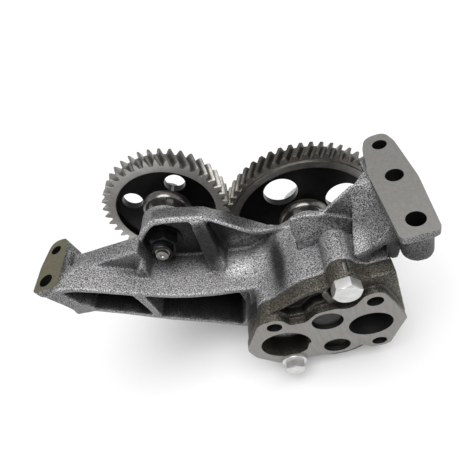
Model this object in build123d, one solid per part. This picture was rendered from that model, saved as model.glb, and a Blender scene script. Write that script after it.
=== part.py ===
from build123d import *
from math import acos, atan2, cos, degrees, hypot, pi, radians, sin, tan
import os

# Engine oil pump with a gear train. Millimetres, +Z up as installed.
# +Y runs along the shafts, from the port face at Y = 0 to the gears at the back.
# The origin is where the axis of the drive shaft meets the port face.

# ---- driving dimensions: planes across the shafts -------------------------------------
COVER_THICKNESS = 15.4        # port face to the joint between the cover and the gear housing
COVER_STEP = 5.4              # height of the machined port face above the cover's plate
GEAR_CHAMBER_DEPTH = 24.6     # joint to joint, the pump gears run in it
REAR_PLATE = 16.0             # thickness of the rear housing behind its joint
ARM_FRONT_Y = 28.0            # front edges of the long arm
RAIL_FRONT_Y = 49.0           # front of the thick rail on top of the arm
RAIL_BACK_Y = 65.0
HOOD_FRONT_Y = 61.0           # front rim of the arched wall that carries the idler
WALL_FRONT_Y = 66.0           # recessed front face of that wall
WALL_THICKNESS = 4.5
IDLER_BOSS_END_Y = 82.0       # end of the cast boss behind the wall
NOSE_END_Y = 86.5             # end of the drive bearing nose
TEETH_FRONT_Y = 93.4          # front of both helical gears
FACE_WIDTH = 14.3             # width of the helical teeth
WEB_FRONT_Y = 97.0            # front of the thin webs
WEB_THICKNESS = 6.0

# ---- driving dimensions: pump section --------------------------------------------------
PUMP_CENTRES = 37.2           # between the drive and the driven shaft, straight down
PUMP_TEETH = 10
PUMP_TIP_RADIUS = 21.2
PUMP_ROOT_RADIUS = 15.4
PUMP_BACKLASH = 0.45
CHAMBER_CLEARANCE = 0.06      # radial and end clearance of the pump gears
DRIVE_WALL_RADIUS = 31.5      # outside of the housing round the drive gear
DRIVEN_WALL_RADIUS = 27.5     # outside of the housing round the driven gear
DRIVE_SHAFT_RADIUS = 9.9
DRIVEN_SHAFT_RADIUS = 9.0
RUNNING_CLEARANCE = 0.04      # shaft to bush, radial
BUSH_WALL = 2.1
DRIVE_BORE_RADIUS = 10.5      # bore in the port face in front of the drive shaft
DRIVEN_BORE_RADIUS = 9.65
DRIVE_SHAFT_RECESS = 2.4      # shaft end behind the port face
DRIVEN_SHAFT_RECESS = 5.0

# ---- driving dimensions: ports and bolts -----------------------------------------------
INLET_X, INLET_Z, INLET_RADIUS = -33.9, -20.8, 18.0
OUTLET_X, OUTLET_Z, OUTLET_RADIUS = 26.4, -16.0, 14.7
INLET_WALL = 8.7
PORT_PASSAGE_DEPTH = 20.0     # depth of the cast passages in the gear housing
BOLT_HOLE_RADIUS = 5.25       # clearance for M10
UPPER_LEFT_BOLT = (-34.4, 7.1)
UPPER_RIGHT_BOLT = (32.1, 12.1)
LOWER_RIGHT_BOLT = (29.5, -43.6)
LOWER_LEFT_BOLT = (-34.5, -46.4)
COLUMN_BOLT = (17.6, 34.0)
COLUMN_RADIUS = 9.2
COLUMN_PAD_RADIUS = 8.6
COLUMN_PAD_Y = 2.6            # seat of the column bolt's head
BOLT_SHANK_RADIUS = 4.9
HEX_ACROSS_FLATS = 16.0
HEX_HEIGHT = 7.2
FLANGE_BOLT_WASHER = 1.6
FLANGE_BOLT_RIM = 9.6
FLANGE_BOLT_FLATS = 13.6
FLANGE_BOLT_HEAD = 6.0
DOWEL_RADIUS = 1.9
DOWEL_LENGTH = 11.0

# ---- driving dimensions: mounting faces ------------------------------------------------
FLANGE_Z = 66.9
FLANGE_PLATE = 5.5
FLANGE_WAIST_LEFT, FLANGE_WAIST_RIGHT = 47.9, 72.4
FLANGE_FRONT_LEFT, FLANGE_FRONT_RIGHT = 50.2, 70.4
FLANGE_END_Y = 86.4
FLANGE_HOLE_X = 61.0
FLANGE_HOLES = ((10.6, 5.15), (45.9, 5.15), (75.7, 4.4))     # (Y, radius) of each hole
FLANGE_BOSS_RADII = (8.8, 8.6, 7.6)                          # round bosses under the holes
FLANGE_BOSS_LENGTHS = (26.2, 20.0, 15.0)
FOOT_Z = 72.35
FOOT_THICKNESS = 18.2
FOOT_HOLE_X = -178.0          # the foot and the arm's end are placed from this line
FOOT_WIDTH = 19.9             # at the front, where the pad is widest
FOOT_FRONT_Y, FOOT_END_Y = 30.0, 76.6
FOOT_HOLES = ((38.6, 5.1), (66.4, 4.0))                      # (Y, radius) of each hole
FOOT_HOLE_DEPTH = 11.0

# ---- driving dimensions: arm -----------------------------------------------------------
SHELF_THICKNESS = 4.6
LOWER_FLANGE_THICKNESS = 4.6
ARM_RIB_WIDTH = 5.0
HOOD_RIM = 5.6                # radial thickness of the arched rim
IDLER_BOSS_RADIUS = 17.4
RAIL_Z = 63.6                 # flat top of the rail

# ---- driving dimensions: helical gear train --------------------------------------------
IDLER_X, IDLER_Z = -97.7, 53.0
DRIVE_GEAR_TEETH = 54
IDLER_TEETH = 39
LARGE_ADDENDUM, SMALL_ADDENDUM = 1.4, 2.4                   # shifted profiles
DEDENDUM = 2.6
HELIX_ANGLE = 24.0
GEAR_TURN = -1.5              # large gear's turn from a tooth space on the line of centres
HELICAL_BACKLASH = 0.6        # along the pitch circle
PRESSURE_ANGLE = 20.0
LARGE_RIM_INNER = 54.3
LARGE_RIM_LIP_OUTER = 60.4
LARGE_LIP = 1.6               # how far the rim stands in front of the large gear's teeth
SMALL_RIM_INNER = 38.1
LARGE_HUB_RADIUS = 16.0
SMALL_HUB_RADIUS = 14.6
HUB_FLARE = 5.0              # cone between a hub and its web
LARGE_HOLE_CIRCLE, LARGE_HOLE_RADIUS, LARGE_HOLE_ANGLE = 35.2, 13.3, 17.3
SMALL_HOLE_CIRCLE, SMALL_HOLE_RADIUS, SMALL_HOLE_ANGLE = 26.7, 7.8, 50.0
HOLE_COUNT = 4
HUB_FRONT_GAP = 0.6           # large hub to bearing nose
HUB_BACK_STAND = 1.0          # hubs behind the teeth
KEY_WIDTH, KEY_HEIGHT, KEY_LENGTH = 6.0, 6.0, 14.0
NUT_HEIGHT, NUT_ACROSS_FLATS = 9.0, 24.0
NUT_WASHER = 2.4
THREAD_RADIUS = 7.9
SHAFT_WASHER_RADIUS = 14.5
NOSE_RADIUS = 17.5            # bearing nose round the drive shaft
TAIL_BOSS_RADIUS, TAIL_BOSS = 15.0, 8.0                      # behind the driven shaft

# ---- driving dimensions: idler support -------------------------------------------------
AXLE_JOURNAL_RADIUS = 9.6
AXLE_SPIGOT_RADIUS = 8.5
AXLE_FLANGE_RADIUS = 13.6
AXLE_FLANGE_THICKNESS = 3.0
IDLER_BUSH_WALL = 1.8
THRUST_WASHER = 2.0
END_FLOAT = 0.15
STUD_RADIUS = 6.0             # threaded end of the idler axle, through the wall
STUD_TIP_RADIUS, STUD_TIP = 4.4, 2.6
STUD_END_Y = 48.5
STUD_CENTRE_HOLE = 1.5
IDLER_NUT_FLATS = 19.0
IDLER_NUT_HEX = 8.0
IDLER_NUT_COLLAR_RADIUS = 7.6
IDLER_NUT_COLLAR = 5.6        # round locking collar in front of the hexagon
IDLER_WASHER_RADIUS = 13.3
IDLER_WASHER = 2.4

# ---- sizes that follow from the ones above ---------------------------------------------
HOUSING_Y = COVER_THICKNESS
REAR_Y = COVER_THICKNESS + GEAR_CHAMBER_DEPTH
REAR_BACK_Y = REAR_Y + REAR_PLATE
WALL_BACK_Y = WALL_FRONT_Y + WALL_THICKNESS
TEETH_BACK_Y = TEETH_FRONT_Y + FACE_WIDTH
HUB_BACK_Y = TEETH_BACK_Y + HUB_BACK_STAND
WEB_BACK_Y = WEB_FRONT_Y + WEB_THICKNESS
PUMP_PITCH_RADIUS = PUMP_CENTRES / 2
GEAR_CENTRES = hypot(IDLER_X, IDLER_Z)
MODULE = 2 * GEAR_CENTRES / (DRIVE_GEAR_TEETH + IDLER_TEETH)
LARGE_PITCH = MODULE * DRIVE_GEAR_TEETH / 2
SMALL_PITCH = MODULE * IDLER_TEETH / 2
CHAMBER_RADIUS = PUMP_TIP_RADIUS + CHAMBER_CLEARANCE
DRIVE_BUSH_RADIUS = DRIVE_SHAFT_RADIUS + RUNNING_CLEARANCE + BUSH_WALL
DRIVEN_BUSH_RADIUS = DRIVEN_SHAFT_RADIUS + RUNNING_CLEARANCE + BUSH_WALL
BUSH_START = 3.6              # plain bore in front of the cover's bushes
BUSH_GAP = 0.3                # bushes stay below the joint faces
BUSH_LENGTH = COVER_THICKNESS - BUSH_START - BUSH_GAP
IDLER_BUSH_RADIUS = AXLE_JOURNAL_RADIUS + RUNNING_CLEARANCE + IDLER_BUSH_WALL
SOCKET_BACK = 0.5             # play behind the end of a shank or spigot

os.makedirs("parts", exist_ok=True)


# ---- helpers ---------------------------------------------------------------------------
def across(sketch, y_from, y_to):
    """Extrude a sketch drawn in X and Z from one Y plane to another."""
    plane = Plane(origin=(0, y_to, 0), x_dir=(1, 0, 0), z_dir=(0, -1, 0))
    return extrude(plane * sketch, amount=y_to - y_from)


def disc(x, z, radius, y_from, y_to):
    """A round bar along Y."""
    return across(Pos(x, z) * Circle(radius), y_from, y_to)


def upright(x, y, radius, z_from, z_to):
    """A round bar along Z."""
    return Pos(x, y, (z_from + z_to) / 2) * Cylinder(radius, z_to - z_from)


def block(x_from, x_to, y_from, y_to, z_from, z_to):
    """A box between two corners."""
    centre = ((x_from + x_to) / 2, (y_from + y_to) / 2, (z_from + z_to) / 2)
    return Pos(*centre) * Box(x_to - x_from, y_to - y_from, z_to - z_from)


def outline(corners):
    """Closed outline from (x, z, corner radius) entries."""
    points = [(x, z) for x, z, radius in corners]
    radii = [radius for x, z, radius in corners]
    return make_face(FilletPolyline(*points, radius=radii, close=True))


def hexagon(across_flats, turn=0.0):
    """Hexagon by its width across flats."""
    return RegularPolygon(across_flats / 2, 6, major_radius=False, rotation=turn)


def band(points, thickness):
    """Closed sketch between a chain of points and the same chain lowered."""
    upper = [(x, z) for x, z in points]
    lower = [(x, z - thickness) for x, z in reversed(points)]
    return make_face(Polyline(*upper, *lower, close=True))


def bolt(x, z, head_back, length, radius, flats, head_height, turn=0.0):
    """Hex bolt along Y, its head in front of head_back and its shank behind."""
    head = across(Pos(x, z) * hexagon(flats, turn), head_back - head_height, head_back)
    rounding = disc(x, z, flats * 0.56, head_back - head_height, head_back)
    shank = disc(x, z, radius, head_back, head_back + length)
    tip_edges = shank.edges().filter_by(GeomType.CIRCLE).sort_by(Axis.Y)[-1:]
    shank = chamfer(tip_edges, 0.8)
    return (head & chamfer(rounding.edges().sort_by(Axis.Y)[:1], flats * 0.06)) + shank


def section(points, y):
    """Closed wire through (x, z) points on one Y plane."""
    return Wire(Polyline(*[(x, y, z) for x, z in points], close=True).edges())


# ---- gear profiles ---------------------------------------------------------------------
def involute(angle):
    return tan(angle) - angle


def gear_points(teeth, pitch_radius, tip, root, backlash, levels, phase):
    """Corner points of a gear with involute flanks; one tooth is centred on phase."""
    pressure = radians(PRESSURE_ANGLE)
    base = pitch_radius * cos(pressure)
    half = pi / (2 * teeth) - backlash / (4 * pitch_radius) + involute(pressure)
    flank = []
    for step in range(levels):
        radius = root + (tip - root) * step / (levels - 1)
        slope = acos(min(1.0, base / radius))
        flank.append((radius, half - involute(slope)))
    points = []
    for tooth in range(teeth):
        centre = radians(phase) + 2 * pi * tooth / teeth
        for radius, angle in flank:
            points.append((radius * cos(centre - angle), radius * sin(centre - angle)))
        for radius, angle in reversed(flank):
            points.append((radius * cos(centre + angle), radius * sin(centre + angle)))
    return points


def helical_blank(teeth, pitch_radius, addendum, phase, hand):
    """Solid helical gear about the Y axis through the origin; phase is at mid width."""
    tip = pitch_radius + addendum
    root = pitch_radius - DEDENDUM
    half_twist = degrees(FACE_WIDTH * tan(radians(HELIX_ANGLE)) / pitch_radius) / 2
    sections = []
    for y, side in ((TEETH_FRONT_Y, 1), (TEETH_BACK_Y, -1)):
        turned = phase + hand * side * half_twist
        points = gear_points(teeth, pitch_radius, tip, root, HELICAL_BACKLASH, 3, turned)
        plane = Plane(origin=(0, y, 0), x_dir=(1, 0, 0), z_dir=(0, -1, 0))
        sections.append(plane * Polyline(*points, close=True))
    wires = [Wire(section.edges()) for section in sections]
    return Part(Solid.make_loft(wires, ruled=True).wrapped)


def ring_of_holes(circle, radius, first_angle):
    """Lightening holes through a gear web."""
    holes = Part()
    for number in range(HOLE_COUNT):
        angle = radians(first_angle + 360 * number / HOLE_COUNT)
        centre = (circle * cos(angle), circle * sin(angle))
        holes += disc(*centre, radius, WEB_FRONT_Y - 1, WEB_BACK_Y + 1)
    return holes


def dished(blank, hub_radius, rim_inner):
    """Recess both sides of a gear between its hub and its rim, down to the web."""
    annulus = Circle(rim_inner) - Circle(hub_radius)
    front = across(annulus, TEETH_FRONT_Y - 2, WEB_FRONT_Y)
    back = across(annulus, WEB_BACK_Y, TEETH_BACK_Y + 2)
    return blank - front - back


MESH_ANGLE = degrees(atan2(IDLER_Z, IDLER_X))


def hub_flare(radius):
    """Cone that joins the front of a hub to its web."""
    cone = Cone(radius + HUB_FLARE, radius, HUB_FLARE)
    return Pos(0, WEB_FRONT_Y + 0.2 - HUB_FLARE / 2, 0) * Rot(90, 0, 0) * cone


LARGE_PHASE = MESH_ANGLE + 180 / DRIVE_GEAR_TEETH + GEAR_TURN
IDLER_PHASE = MESH_ANGLE + 180 - GEAR_TURN * DRIVE_GEAR_TEETH / IDLER_TEETH


# ---- outlines shared by the castings ---------------------------------------------------
def joint_outline():
    """Outline of the joint between the cover and the gear housing."""
    shape = Circle(DRIVE_WALL_RADIUS)
    shape += Pos(0, -PUMP_CENTRES) * Circle(DRIVEN_WALL_RADIUS)
    shape += Pos(*UPPER_LEFT_BOLT) * Circle(10.5)
    shape += Pos(INLET_X, INLET_Z) * Circle(INLET_RADIUS + INLET_WALL)
    shape += Pos(*LOWER_LEFT_BOLT) * Circle(9.6)
    shape += Pos(*COLUMN_BOLT) * Circle(COLUMN_RADIUS)
    shape += Pos(*UPPER_RIGHT_BOLT) * Circle(9.4)
    shape += Pos(*LOWER_RIGHT_BOLT) * Circle(8.2)
    core = [(-43, 12), (-34, 17.4), (-19, 24.6), (10, 34), (26, 36), (33, 31), (47.4, 31.0),
            (48.0, 22), (49.2, 0), (50.2, -16.9), (47.3, -24), (37.2, -42), (22, -49),
            (0, -60), (-28, -52), (-52, -34)]
    shape += make_face(Polyline(*core, close=True))
    return shape


def face_outline():
    """Outline of the machined port face."""
    return outline([
        (-43.5, 14.5, 9), (-28.5, 17.0, 8), (-24.0, 5.6, 4), (-13.5, 5.0, 6), (-4.5, 13.2, 8),
        (8.0, 13.8, 7), (17.5, 9.2, 8), (26.6, 20.6, 5), (37.0, 23.4, 7), (43.4, 6.0, 9),
        (49.8, -17.2, 2.2), (41.8, -36.6, 9), (36.0, -51.6, 7), (23.4, -51.4, 6),
        (17.6, -43.6, 4), (6.0, -50.6, 12), (-24.0, -48.0, 6), (-44.6, -49.8, 7),
        (-59.4, -32.0, 12), (-62.4, -17.0, 14),
    ])


def bolt_holes(centres, y_from, y_to, radius=BOLT_HOLE_RADIUS):
    """Round holes along Y."""
    holes = Part()
    for x, z in centres:
        holes += disc(x, z, radius, y_from, y_to)
    return holes


def dowel_centres():
    """Two dowels in the wall of the pump section, clear of the gears and bolts."""
    return ((13.2, 23.2), (-8.4, -PUMP_CENTRES - 23.0))


# ---- port cover ------------------------------------------------------------------------
def port_cover():
    body = across(joint_outline(), COVER_STEP, HOUSING_Y)
    body += disc(*COLUMN_BOLT, COLUMN_PAD_RADIUS, COLUMN_PAD_Y, COVER_STEP + 1)
    body += across(face_outline(), 0, COVER_STEP + 1)
    body -= bolt_holes((UPPER_LEFT_BOLT, UPPER_RIGHT_BOLT, LOWER_RIGHT_BOLT, LOWER_LEFT_BOLT,
                        COLUMN_BOLT), -1, HOUSING_Y + 1)
    hollow = outline([(-28.0, 17.4, 2), (-22.5, 8.6, 3), (-13.8, 8.0, 3), (-5.0, 16.2, 3),
                      (2.0, 17.2, 2), (3.4, 28.6, 2), (-8.6, 26.6, 3), (-19.0, 21.4, 3)])
    body -= across(hollow, 0, COVER_THICKNESS - 3.4)
    nub = disc(4.6, 27.5, 2.3, 3.0, COVER_STEP + 4) + disc(6.4, 19.0, 2.3, 3.0, COVER_STEP + 4)
    body += nub + across(make_face(Polyline((2.5, 28.2), (6.8, 28.0), (8.7, 19.6), (4.2, 18.4),
                                            close=True)), 3.0, COVER_STEP + 4)
    beside = outline([(9.6, 17.4, 2), (13.2, 20.0, 1.4), (8.9, 33.0, 1.4), (6.8, 28.8, 0.8)])
    body -= across(beside, 0, COVER_STEP + 3.6)
    body -= block(19.2, 21.9, COVER_STEP + 1.4, HOUSING_Y + 1, 38.5, 45)
    drip = Polyline((6.6, -66.6), (11.4, -57.0), (3.4, -57.0), close=True)
    body += across(make_face(drip), COVER_STEP + 2, HOUSING_Y - 3)
    inlet = Circle(INLET_RADIUS)
    step = outline([(-INLET_X - 18.0, -25.0 - INLET_Z, 0.5), (-INLET_X - 21.0, -33.0 - INLET_Z, 2),
                    (-INLET_X - 26.0, -42.0 - INLET_Z, 1), (-INLET_X + 4.0, -42.0 - INLET_Z, 1),
                    (-INLET_X + 4.0, -25.0 - INLET_Z, 1)])
    body -= across(Pos(INLET_X, INLET_Z) * (inlet - step), -1, HOUSING_Y + 1)
    body -= disc(OUTLET_X, OUTLET_Z, OUTLET_RADIUS, -1, HOUSING_Y + 1)
    body -= disc(0, 0, DRIVE_BORE_RADIUS, -1, BUSH_START)
    body -= disc(0, 0, DRIVE_BUSH_RADIUS, BUSH_START, HOUSING_Y + 1)
    body -= disc(0, -PUMP_CENTRES, DRIVEN_BORE_RADIUS, -1, BUSH_START)
    body -= disc(0, -PUMP_CENTRES, DRIVEN_BUSH_RADIUS, BUSH_START, HOUSING_Y + 1)
    body -= bolt_holes(dowel_centres(), HOUSING_Y - DOWEL_LENGTH / 2, HOUSING_Y + 1, DOWEL_RADIUS)
    return body


# ---- gear housing with its arm ---------------------------------------------------------
def arm_x(share):
    """X at a share of the way from the foot's holes to the idler."""
    return FOOT_HOLE_X + (IDLER_X - FOOT_HOLE_X) * share


def by_idler(points):
    """Points given from the idler's axis."""
    return [(IDLER_X + x, IDLER_Z + z) for x, z in points]


FOOT_SIDE = FOOT_HOLE_X + FOOT_WIDTH - 8.3
SHELF_LINE = [(FOOT_SIDE - 1.6, 71.0), (arm_x(0.274), 67.6), (arm_x(0.473), 58.0)]
SHELF_LINE += by_idler([(-24.7, -6.6), (-2.7, -19.4), (11.7, -25.4)])
SHELF_LINE += [(-73.0, 24.0), (-55.0, 20.4), (-42.0, 16.0), (-30.0, 15.0)]
LOWER_LINE = [(FOOT_HOLE_X + 4.0, 38.8), (arm_x(0.229), 37.0), (arm_x(0.436), 24.8),
              (arm_x(0.792), 1.6), (-88.8, -15.6), (-68.8, -30.4), (-56.0, -38.0)]
# front and back edges of the arched rim: over the nut, then down to the pump section
HOOD_FRONT = by_idler([(-16.3, 8.5), (-11.8, 14.0), (-6.4, 18.6), (-1.4, 21.8), (2.6, 23.0),
                       (7.7, 22.3), (16.5, 20.0)])
HOOD_FRONT += [(-69.0, 68.6), (-60.0, 65.6), (-54.4, 60.0), (-46.8, 51.4), (-41.5, 45.4),
               (-35.8, 40.0), (-30.8, 37.2), (-25.0, 36.4), (-18.7, 35.0), (-6.4, 32.2)]
HOOD_BACK = by_idler([(-16.8, 6.5), (-12.0, 12.0), (-6.6, 16.8), (-1.4, 20.8), (2.6, 23.6),
                      (7.7, 24.2), (16.5, 22.0)])
HOOD_BACK += [(-68.6, 70.4), (-60.0, 67.0), (-53.8, 61.4), (-48.2, 56.2), (-43.1, 49.8),
              (-34.6, 41.4), (-28.9, 35.6), (-23.1, 29.8), (-17.0, 27.4), (-6.8, 30.8)]
ARM_WEB_Z = 57.6              # top of the arm's web behind the rail


def arm_plate():
    """Sketch of the arm's upright web: between the shelf, the hood and the lower flange."""
    lower = [(x, z) for x, z in reversed(LOWER_LINE)]
    under_rim = [(x, z - 3.0) for x, z in HOOD_BACK]
    upper = [(FOOT_HOLE_X + 2.0, ARM_WEB_Z), (IDLER_X - 18.3, ARM_WEB_Z)] + under_rim
    return make_face(Polyline(*upper, (-11.0, 24.0), (-30.0, 10.0), (-50.0, -20.0), *lower,
                              close=True))


def arm_body():
    """Open-fronted arm: shelf, lower flange, web, end wall and rib."""
    arm = across(band(SHELF_LINE, SHELF_THICKNESS), ARM_FRONT_Y, WALL_BACK_Y)
    flange = [(x, z + LOWER_FLANGE_THICKNESS) for x, z in LOWER_LINE]
    falling = Polyline((ARM_FRONT_Y + 9, 71.6), (RAIL_FRONT_Y + 11, RAIL_Z),
                       (RAIL_BACK_Y, RAIL_Z), (RAIL_BACK_Y, ARM_WEB_Z), (75, ARM_WEB_Z),
                       (75, 80), (ARM_FRONT_Y + 9, 80), close=True)
    side_plane = Plane(origin=(FOOT_HOLE_X, 0, 0), x_dir=(0, 1, 0), z_dir=(1, 0, 0))
    arm -= extrude(side_plane * make_face(falling), amount=IDLER_X - 20 - FOOT_HOLE_X)
    arm += across(band(flange, LOWER_FLANGE_THICKNESS), ARM_FRONT_Y, WALL_BACK_Y)
    arm += across(arm_plate(), WALL_FRONT_Y, WALL_BACK_Y)
    wall_points = [(-2.0, 66.0, 1), (9.0, 70.6, 1), (11.0, 69.0, 1), (12.2, 62.0, 1),
                   (14.4, 50.0, 3), (22.0, 41.0, 1), (5.2, 43.4, 2), (2.4, 54.0, 3)]
    end_wall = outline([(FOOT_HOLE_X + x, z, radius) for x, z, radius in wall_points])
    arm += across(end_wall, ARM_FRONT_Y, RAIL_BACK_Y)
    rib_x = IDLER_X - 26.3
    rib = [(rib_x - 0.6, 45.4), (rib_x, 16.0), (rib_x + ARM_RIB_WIDTH, 12.0),
           (rib_x + ARM_RIB_WIDTH + 1.6, 41.0)]
    arm += across(make_face(Polyline(*rib, close=True)), ARM_FRONT_Y, WALL_BACK_Y)
    return arm


def arm_rail():
    """Thick rail on top of the arm, from the foot to the hood."""
    rail = [(FOOT_HOLE_X + 11.0, RAIL_Z), (IDLER_X - 14.3, RAIL_Z)]
    rail += by_idler([(-15.1, 5.0), (-15.5, -15.0), (-24.7, -10.0)])
    rail += [(arm_x(0.473), 55.0), (FOOT_HOLE_X + 20.0, 56.4), (FOOT_HOLE_X + 12.0, 56.4)]
    return across(make_face(Polyline(*rail, close=True)), RAIL_FRONT_Y, RAIL_BACK_Y)


def hood_rim():
    """Arched rim round the idler's nut, standing in front of the wall."""
    wires = []
    for line, y in ((HOOD_FRONT, HOOD_FRONT_Y), (HOOD_BACK, WALL_BACK_Y)):
        lowered = [(x, z - HOOD_RIM) for x, z in reversed(line)]
        wires.append(section(line + lowered, y))
    rim = Part(Solid.make_loft(wires, ruled=True).wrapped)
    cheek = by_idler([(-16.3, 8.5), (-11.0, 14.0), (-8.8, 13.0), (-13.9, 5.5), (-15.3, -3.0),
                      (-15.3, -11.0), (-20.3, -8.0)])
    return rim + across(make_face(Polyline(*cheek, close=True)), HOOD_FRONT_Y, WALL_BACK_Y)


def hood_gusset():
    """Slanted web from the arched rim down to the arm's shelf."""
    side = [(-71.0, 65.0), (-61.6, 63.0), (-60.6, 20.0), (-73.6, 21.0)]
    slab = across(make_face(Polyline(*side, close=True)), 40, WALL_BACK_Y)
    cut_plane = Plane.YZ
    profile = make_face(Polyline((HOOD_FRONT_Y, 70), (WALL_BACK_Y, 70), (WALL_BACK_Y, 18),
                                 (46.5, 18), (46.5, 23.5), close=True))
    wedge = extrude(Plane(origin=(-80, 0, 0), x_dir=cut_plane.x_dir, z_dir=cut_plane.z_dir)
                    * profile, amount=30)
    return slab & wedge


def nut_gusset():
    """Short web from the rail's corner beside the nut down to the arm's shelf."""
    side = by_idler([(-23.3, -4.0), (-15.1, 3.0), (-13.3, -1.0), (-16.3, -15.0), (-24.3, -11.0)])
    return across(make_face(Polyline(*side, close=True)), 42, RAIL_FRONT_Y + 1)


def foot_outline():
    """Outline of the foot pad in X and Y, narrower towards its round end."""
    left, right = FOOT_HOLE_X - 8.3, FOOT_SIDE
    middle_y = (FOOT_FRONT_Y + FOOT_END_Y) / 2
    corners = [(left, FOOT_FRONT_Y, 3), (right - 0.4, FOOT_FRONT_Y, 3),
               (right, FOOT_FRONT_Y + 6, 8), (right - 2.2, middle_y + 10, 20),
               (right - 4.4, FOOT_END_Y, 4.5), (left + 2.2, FOOT_END_Y, 7),
               (left - 1.0, middle_y, 30)]
    return outline(corners)


def foot_block():
    """Thick block under the machined foot pad, with a round end and a sloping underside."""
    z_low = FOOT_Z - FOOT_THICKNESS
    body = extrude(Pos(0, 0, z_low) * foot_outline(), amount=FOOT_THICKNESS)
    left, side = FOOT_HOLE_X - 8.3, FOOT_SIDE
    top = [(side - 4.9, FOOT_END_Y - 3.4), (side - 3.0, 62.0), (side - 5.0, 58.0),
           (side - 9.4, FOOT_END_Y - 3.4)]
    low = [(side + 0.9, 65.4), (side + 1.4, 57.0), (side - 4.4, 50.0),
           (side - 9.4, FOOT_END_Y - 3.4)]
    wires = [Wire(Polyline(*[(x, y, z) for x, y in points], close=True).edges())
             for points, z in ((top, FOOT_Z - 1.0), (low, RAIL_Z - 1.6))]
    body += Part(Solid.make_loft(wires, ruled=True).wrapped)
    under = Polyline((left - 2, z_low - 1), (left + 10.7, z_low - 1),
                     (left + 7.5, z_low + 7.5), (left - 0.4, z_low + 13.0),
                     (left - 2, z_low + 13.0), close=True)
    return body - across(make_face(under), FOOT_FRONT_Y - 1, FOOT_END_Y + 1)


def pump_section():
    """Body round the pump gears, from joint to joint, with its passages."""
    body = across(joint_outline(), HOUSING_Y, REAR_Y)
    cheek = [(-47.5, 18.0), (-40.0, 17.0), (-30.0, 15.0), (-40.0, -30.0), (-62.0, -33.0),
             (-67.0, -29.0), (-61.5, -18.0), (-50.5, 3.0)]
    return body + across(make_face(Polyline(*cheek, close=True)), ARM_FRONT_Y, WALL_BACK_Y)


def saddle():
    """Casting between the pump section and the hood, rising towards the hood's rim."""
    low = [(-7.6, 27.0), (-27.0, 14.0), (-33.0, -2.0), (-44.0, -20.0), (-60.0, -30.0)]
    front = [(-60.0, 20.0), (-42.0, 17.5), (-31.0, 19.0), (-25.5, 20.4), (-19.0, 25.0),
             (-11.0, 29.6), (-6.3, 31.4)]
    back = [(-60.0, 20.0), (-42.0, 17.5), (-31.0, 21.6), (-25.5, 28.6), (-19.0, 30.6),
            (-11.0, 31.4), (-6.3, 32.0)]
    wires = [section(front + low, REAR_Y - 1), section(back + low, WALL_FRONT_Y)]
    return Part(Solid.make_loft(wires, ruled=True).wrapped)


def gear_housing():
    body = pump_section() + arm_body() + arm_rail() + hood_rim() + hood_gusset()
    body += nut_gusset() + foot_block() + saddle()
    body += disc(IDLER_X, IDLER_Z, IDLER_BOSS_RADIUS, WALL_FRONT_Y, IDLER_BOSS_END_Y)
    body -= disc(0, 0, CHAMBER_RADIUS, HOUSING_Y - 1, REAR_Y + 1)
    body -= disc(0, -PUMP_CENTRES, CHAMBER_RADIUS, HOUSING_Y - 1, REAR_Y + 1)
    passage_end = HOUSING_Y + PORT_PASSAGE_DEPTH
    body -= disc(INLET_X + 1.0, INLET_Z, INLET_RADIUS - 2.5, HOUSING_Y - 1, passage_end)
    body -= disc(OUTLET_X, OUTLET_Z, OUTLET_RADIUS - 1.5, HOUSING_Y - 1, passage_end)
    mesh_z = -PUMP_CENTRES / 2
    body -= block(INLET_X, 0, HOUSING_Y - 1, passage_end, mesh_z - 8, mesh_z + 8)
    body -= block(0, OUTLET_X, HOUSING_Y - 1, passage_end, mesh_z - 7, mesh_z + 7)
    body -= bolt_holes((UPPER_LEFT_BOLT, UPPER_RIGHT_BOLT, LOWER_RIGHT_BOLT, COLUMN_BOLT),
                       HOUSING_Y - 1, REAR_Y + 1)
    body -= bolt_holes((LOWER_LEFT_BOLT,), HOUSING_Y - 1, REAR_Y - 4, BOLT_SHANK_RADIUS)
    body -= bolt_holes(dowel_centres(), HOUSING_Y - 1, HOUSING_Y + DOWEL_LENGTH / 2, DOWEL_RADIUS)
    body -= bolt_holes(dowel_centres(), REAR_Y - DOWEL_LENGTH / 2, REAR_Y + 1, DOWEL_RADIUS)
    body -= disc(IDLER_X, IDLER_Z, STUD_RADIUS + 0.4, WALL_FRONT_Y - 2, IDLER_BOSS_END_Y)
    body -= disc(IDLER_X, IDLER_Z, AXLE_SPIGOT_RADIUS, WALL_BACK_Y + 3, IDLER_BOSS_END_Y + 1)
    for y, radius in FOOT_HOLES:
        body -= upright(FOOT_HOLE_X, y, radius, FOOT_Z - FOOT_HOLE_DEPTH, FOOT_Z + 1)
    return body


# ---- rear housing with the three-hole flange -------------------------------------------
def flange_plate():
    """Long machined plate with a narrow round end at the back."""
    z_low = FLANGE_Z - FLANGE_PLATE
    y_waist = FLANGE_HOLES[1][0]
    y_end = FLANGE_HOLES[2][0]
    corners = [(FLANGE_FRONT_LEFT, 0.0, 3), (FLANGE_FRONT_RIGHT, 0.0, 3),
               (FLANGE_WAIST_RIGHT, y_waist - 5, 60), (FLANGE_HOLE_X + 8.8, y_end, 12),
               (FLANGE_HOLE_X + 5.6, FLANGE_END_Y, 6), (FLANGE_HOLE_X - 7.0, FLANGE_END_Y, 7),
               (FLANGE_HOLE_X - 10.6, y_end, 10), (FLANGE_WAIST_LEFT, y_waist + 6, 40)]
    return extrude(Pos(0, 0, z_low) * outline(corners), amount=FLANGE_PLATE)


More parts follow.
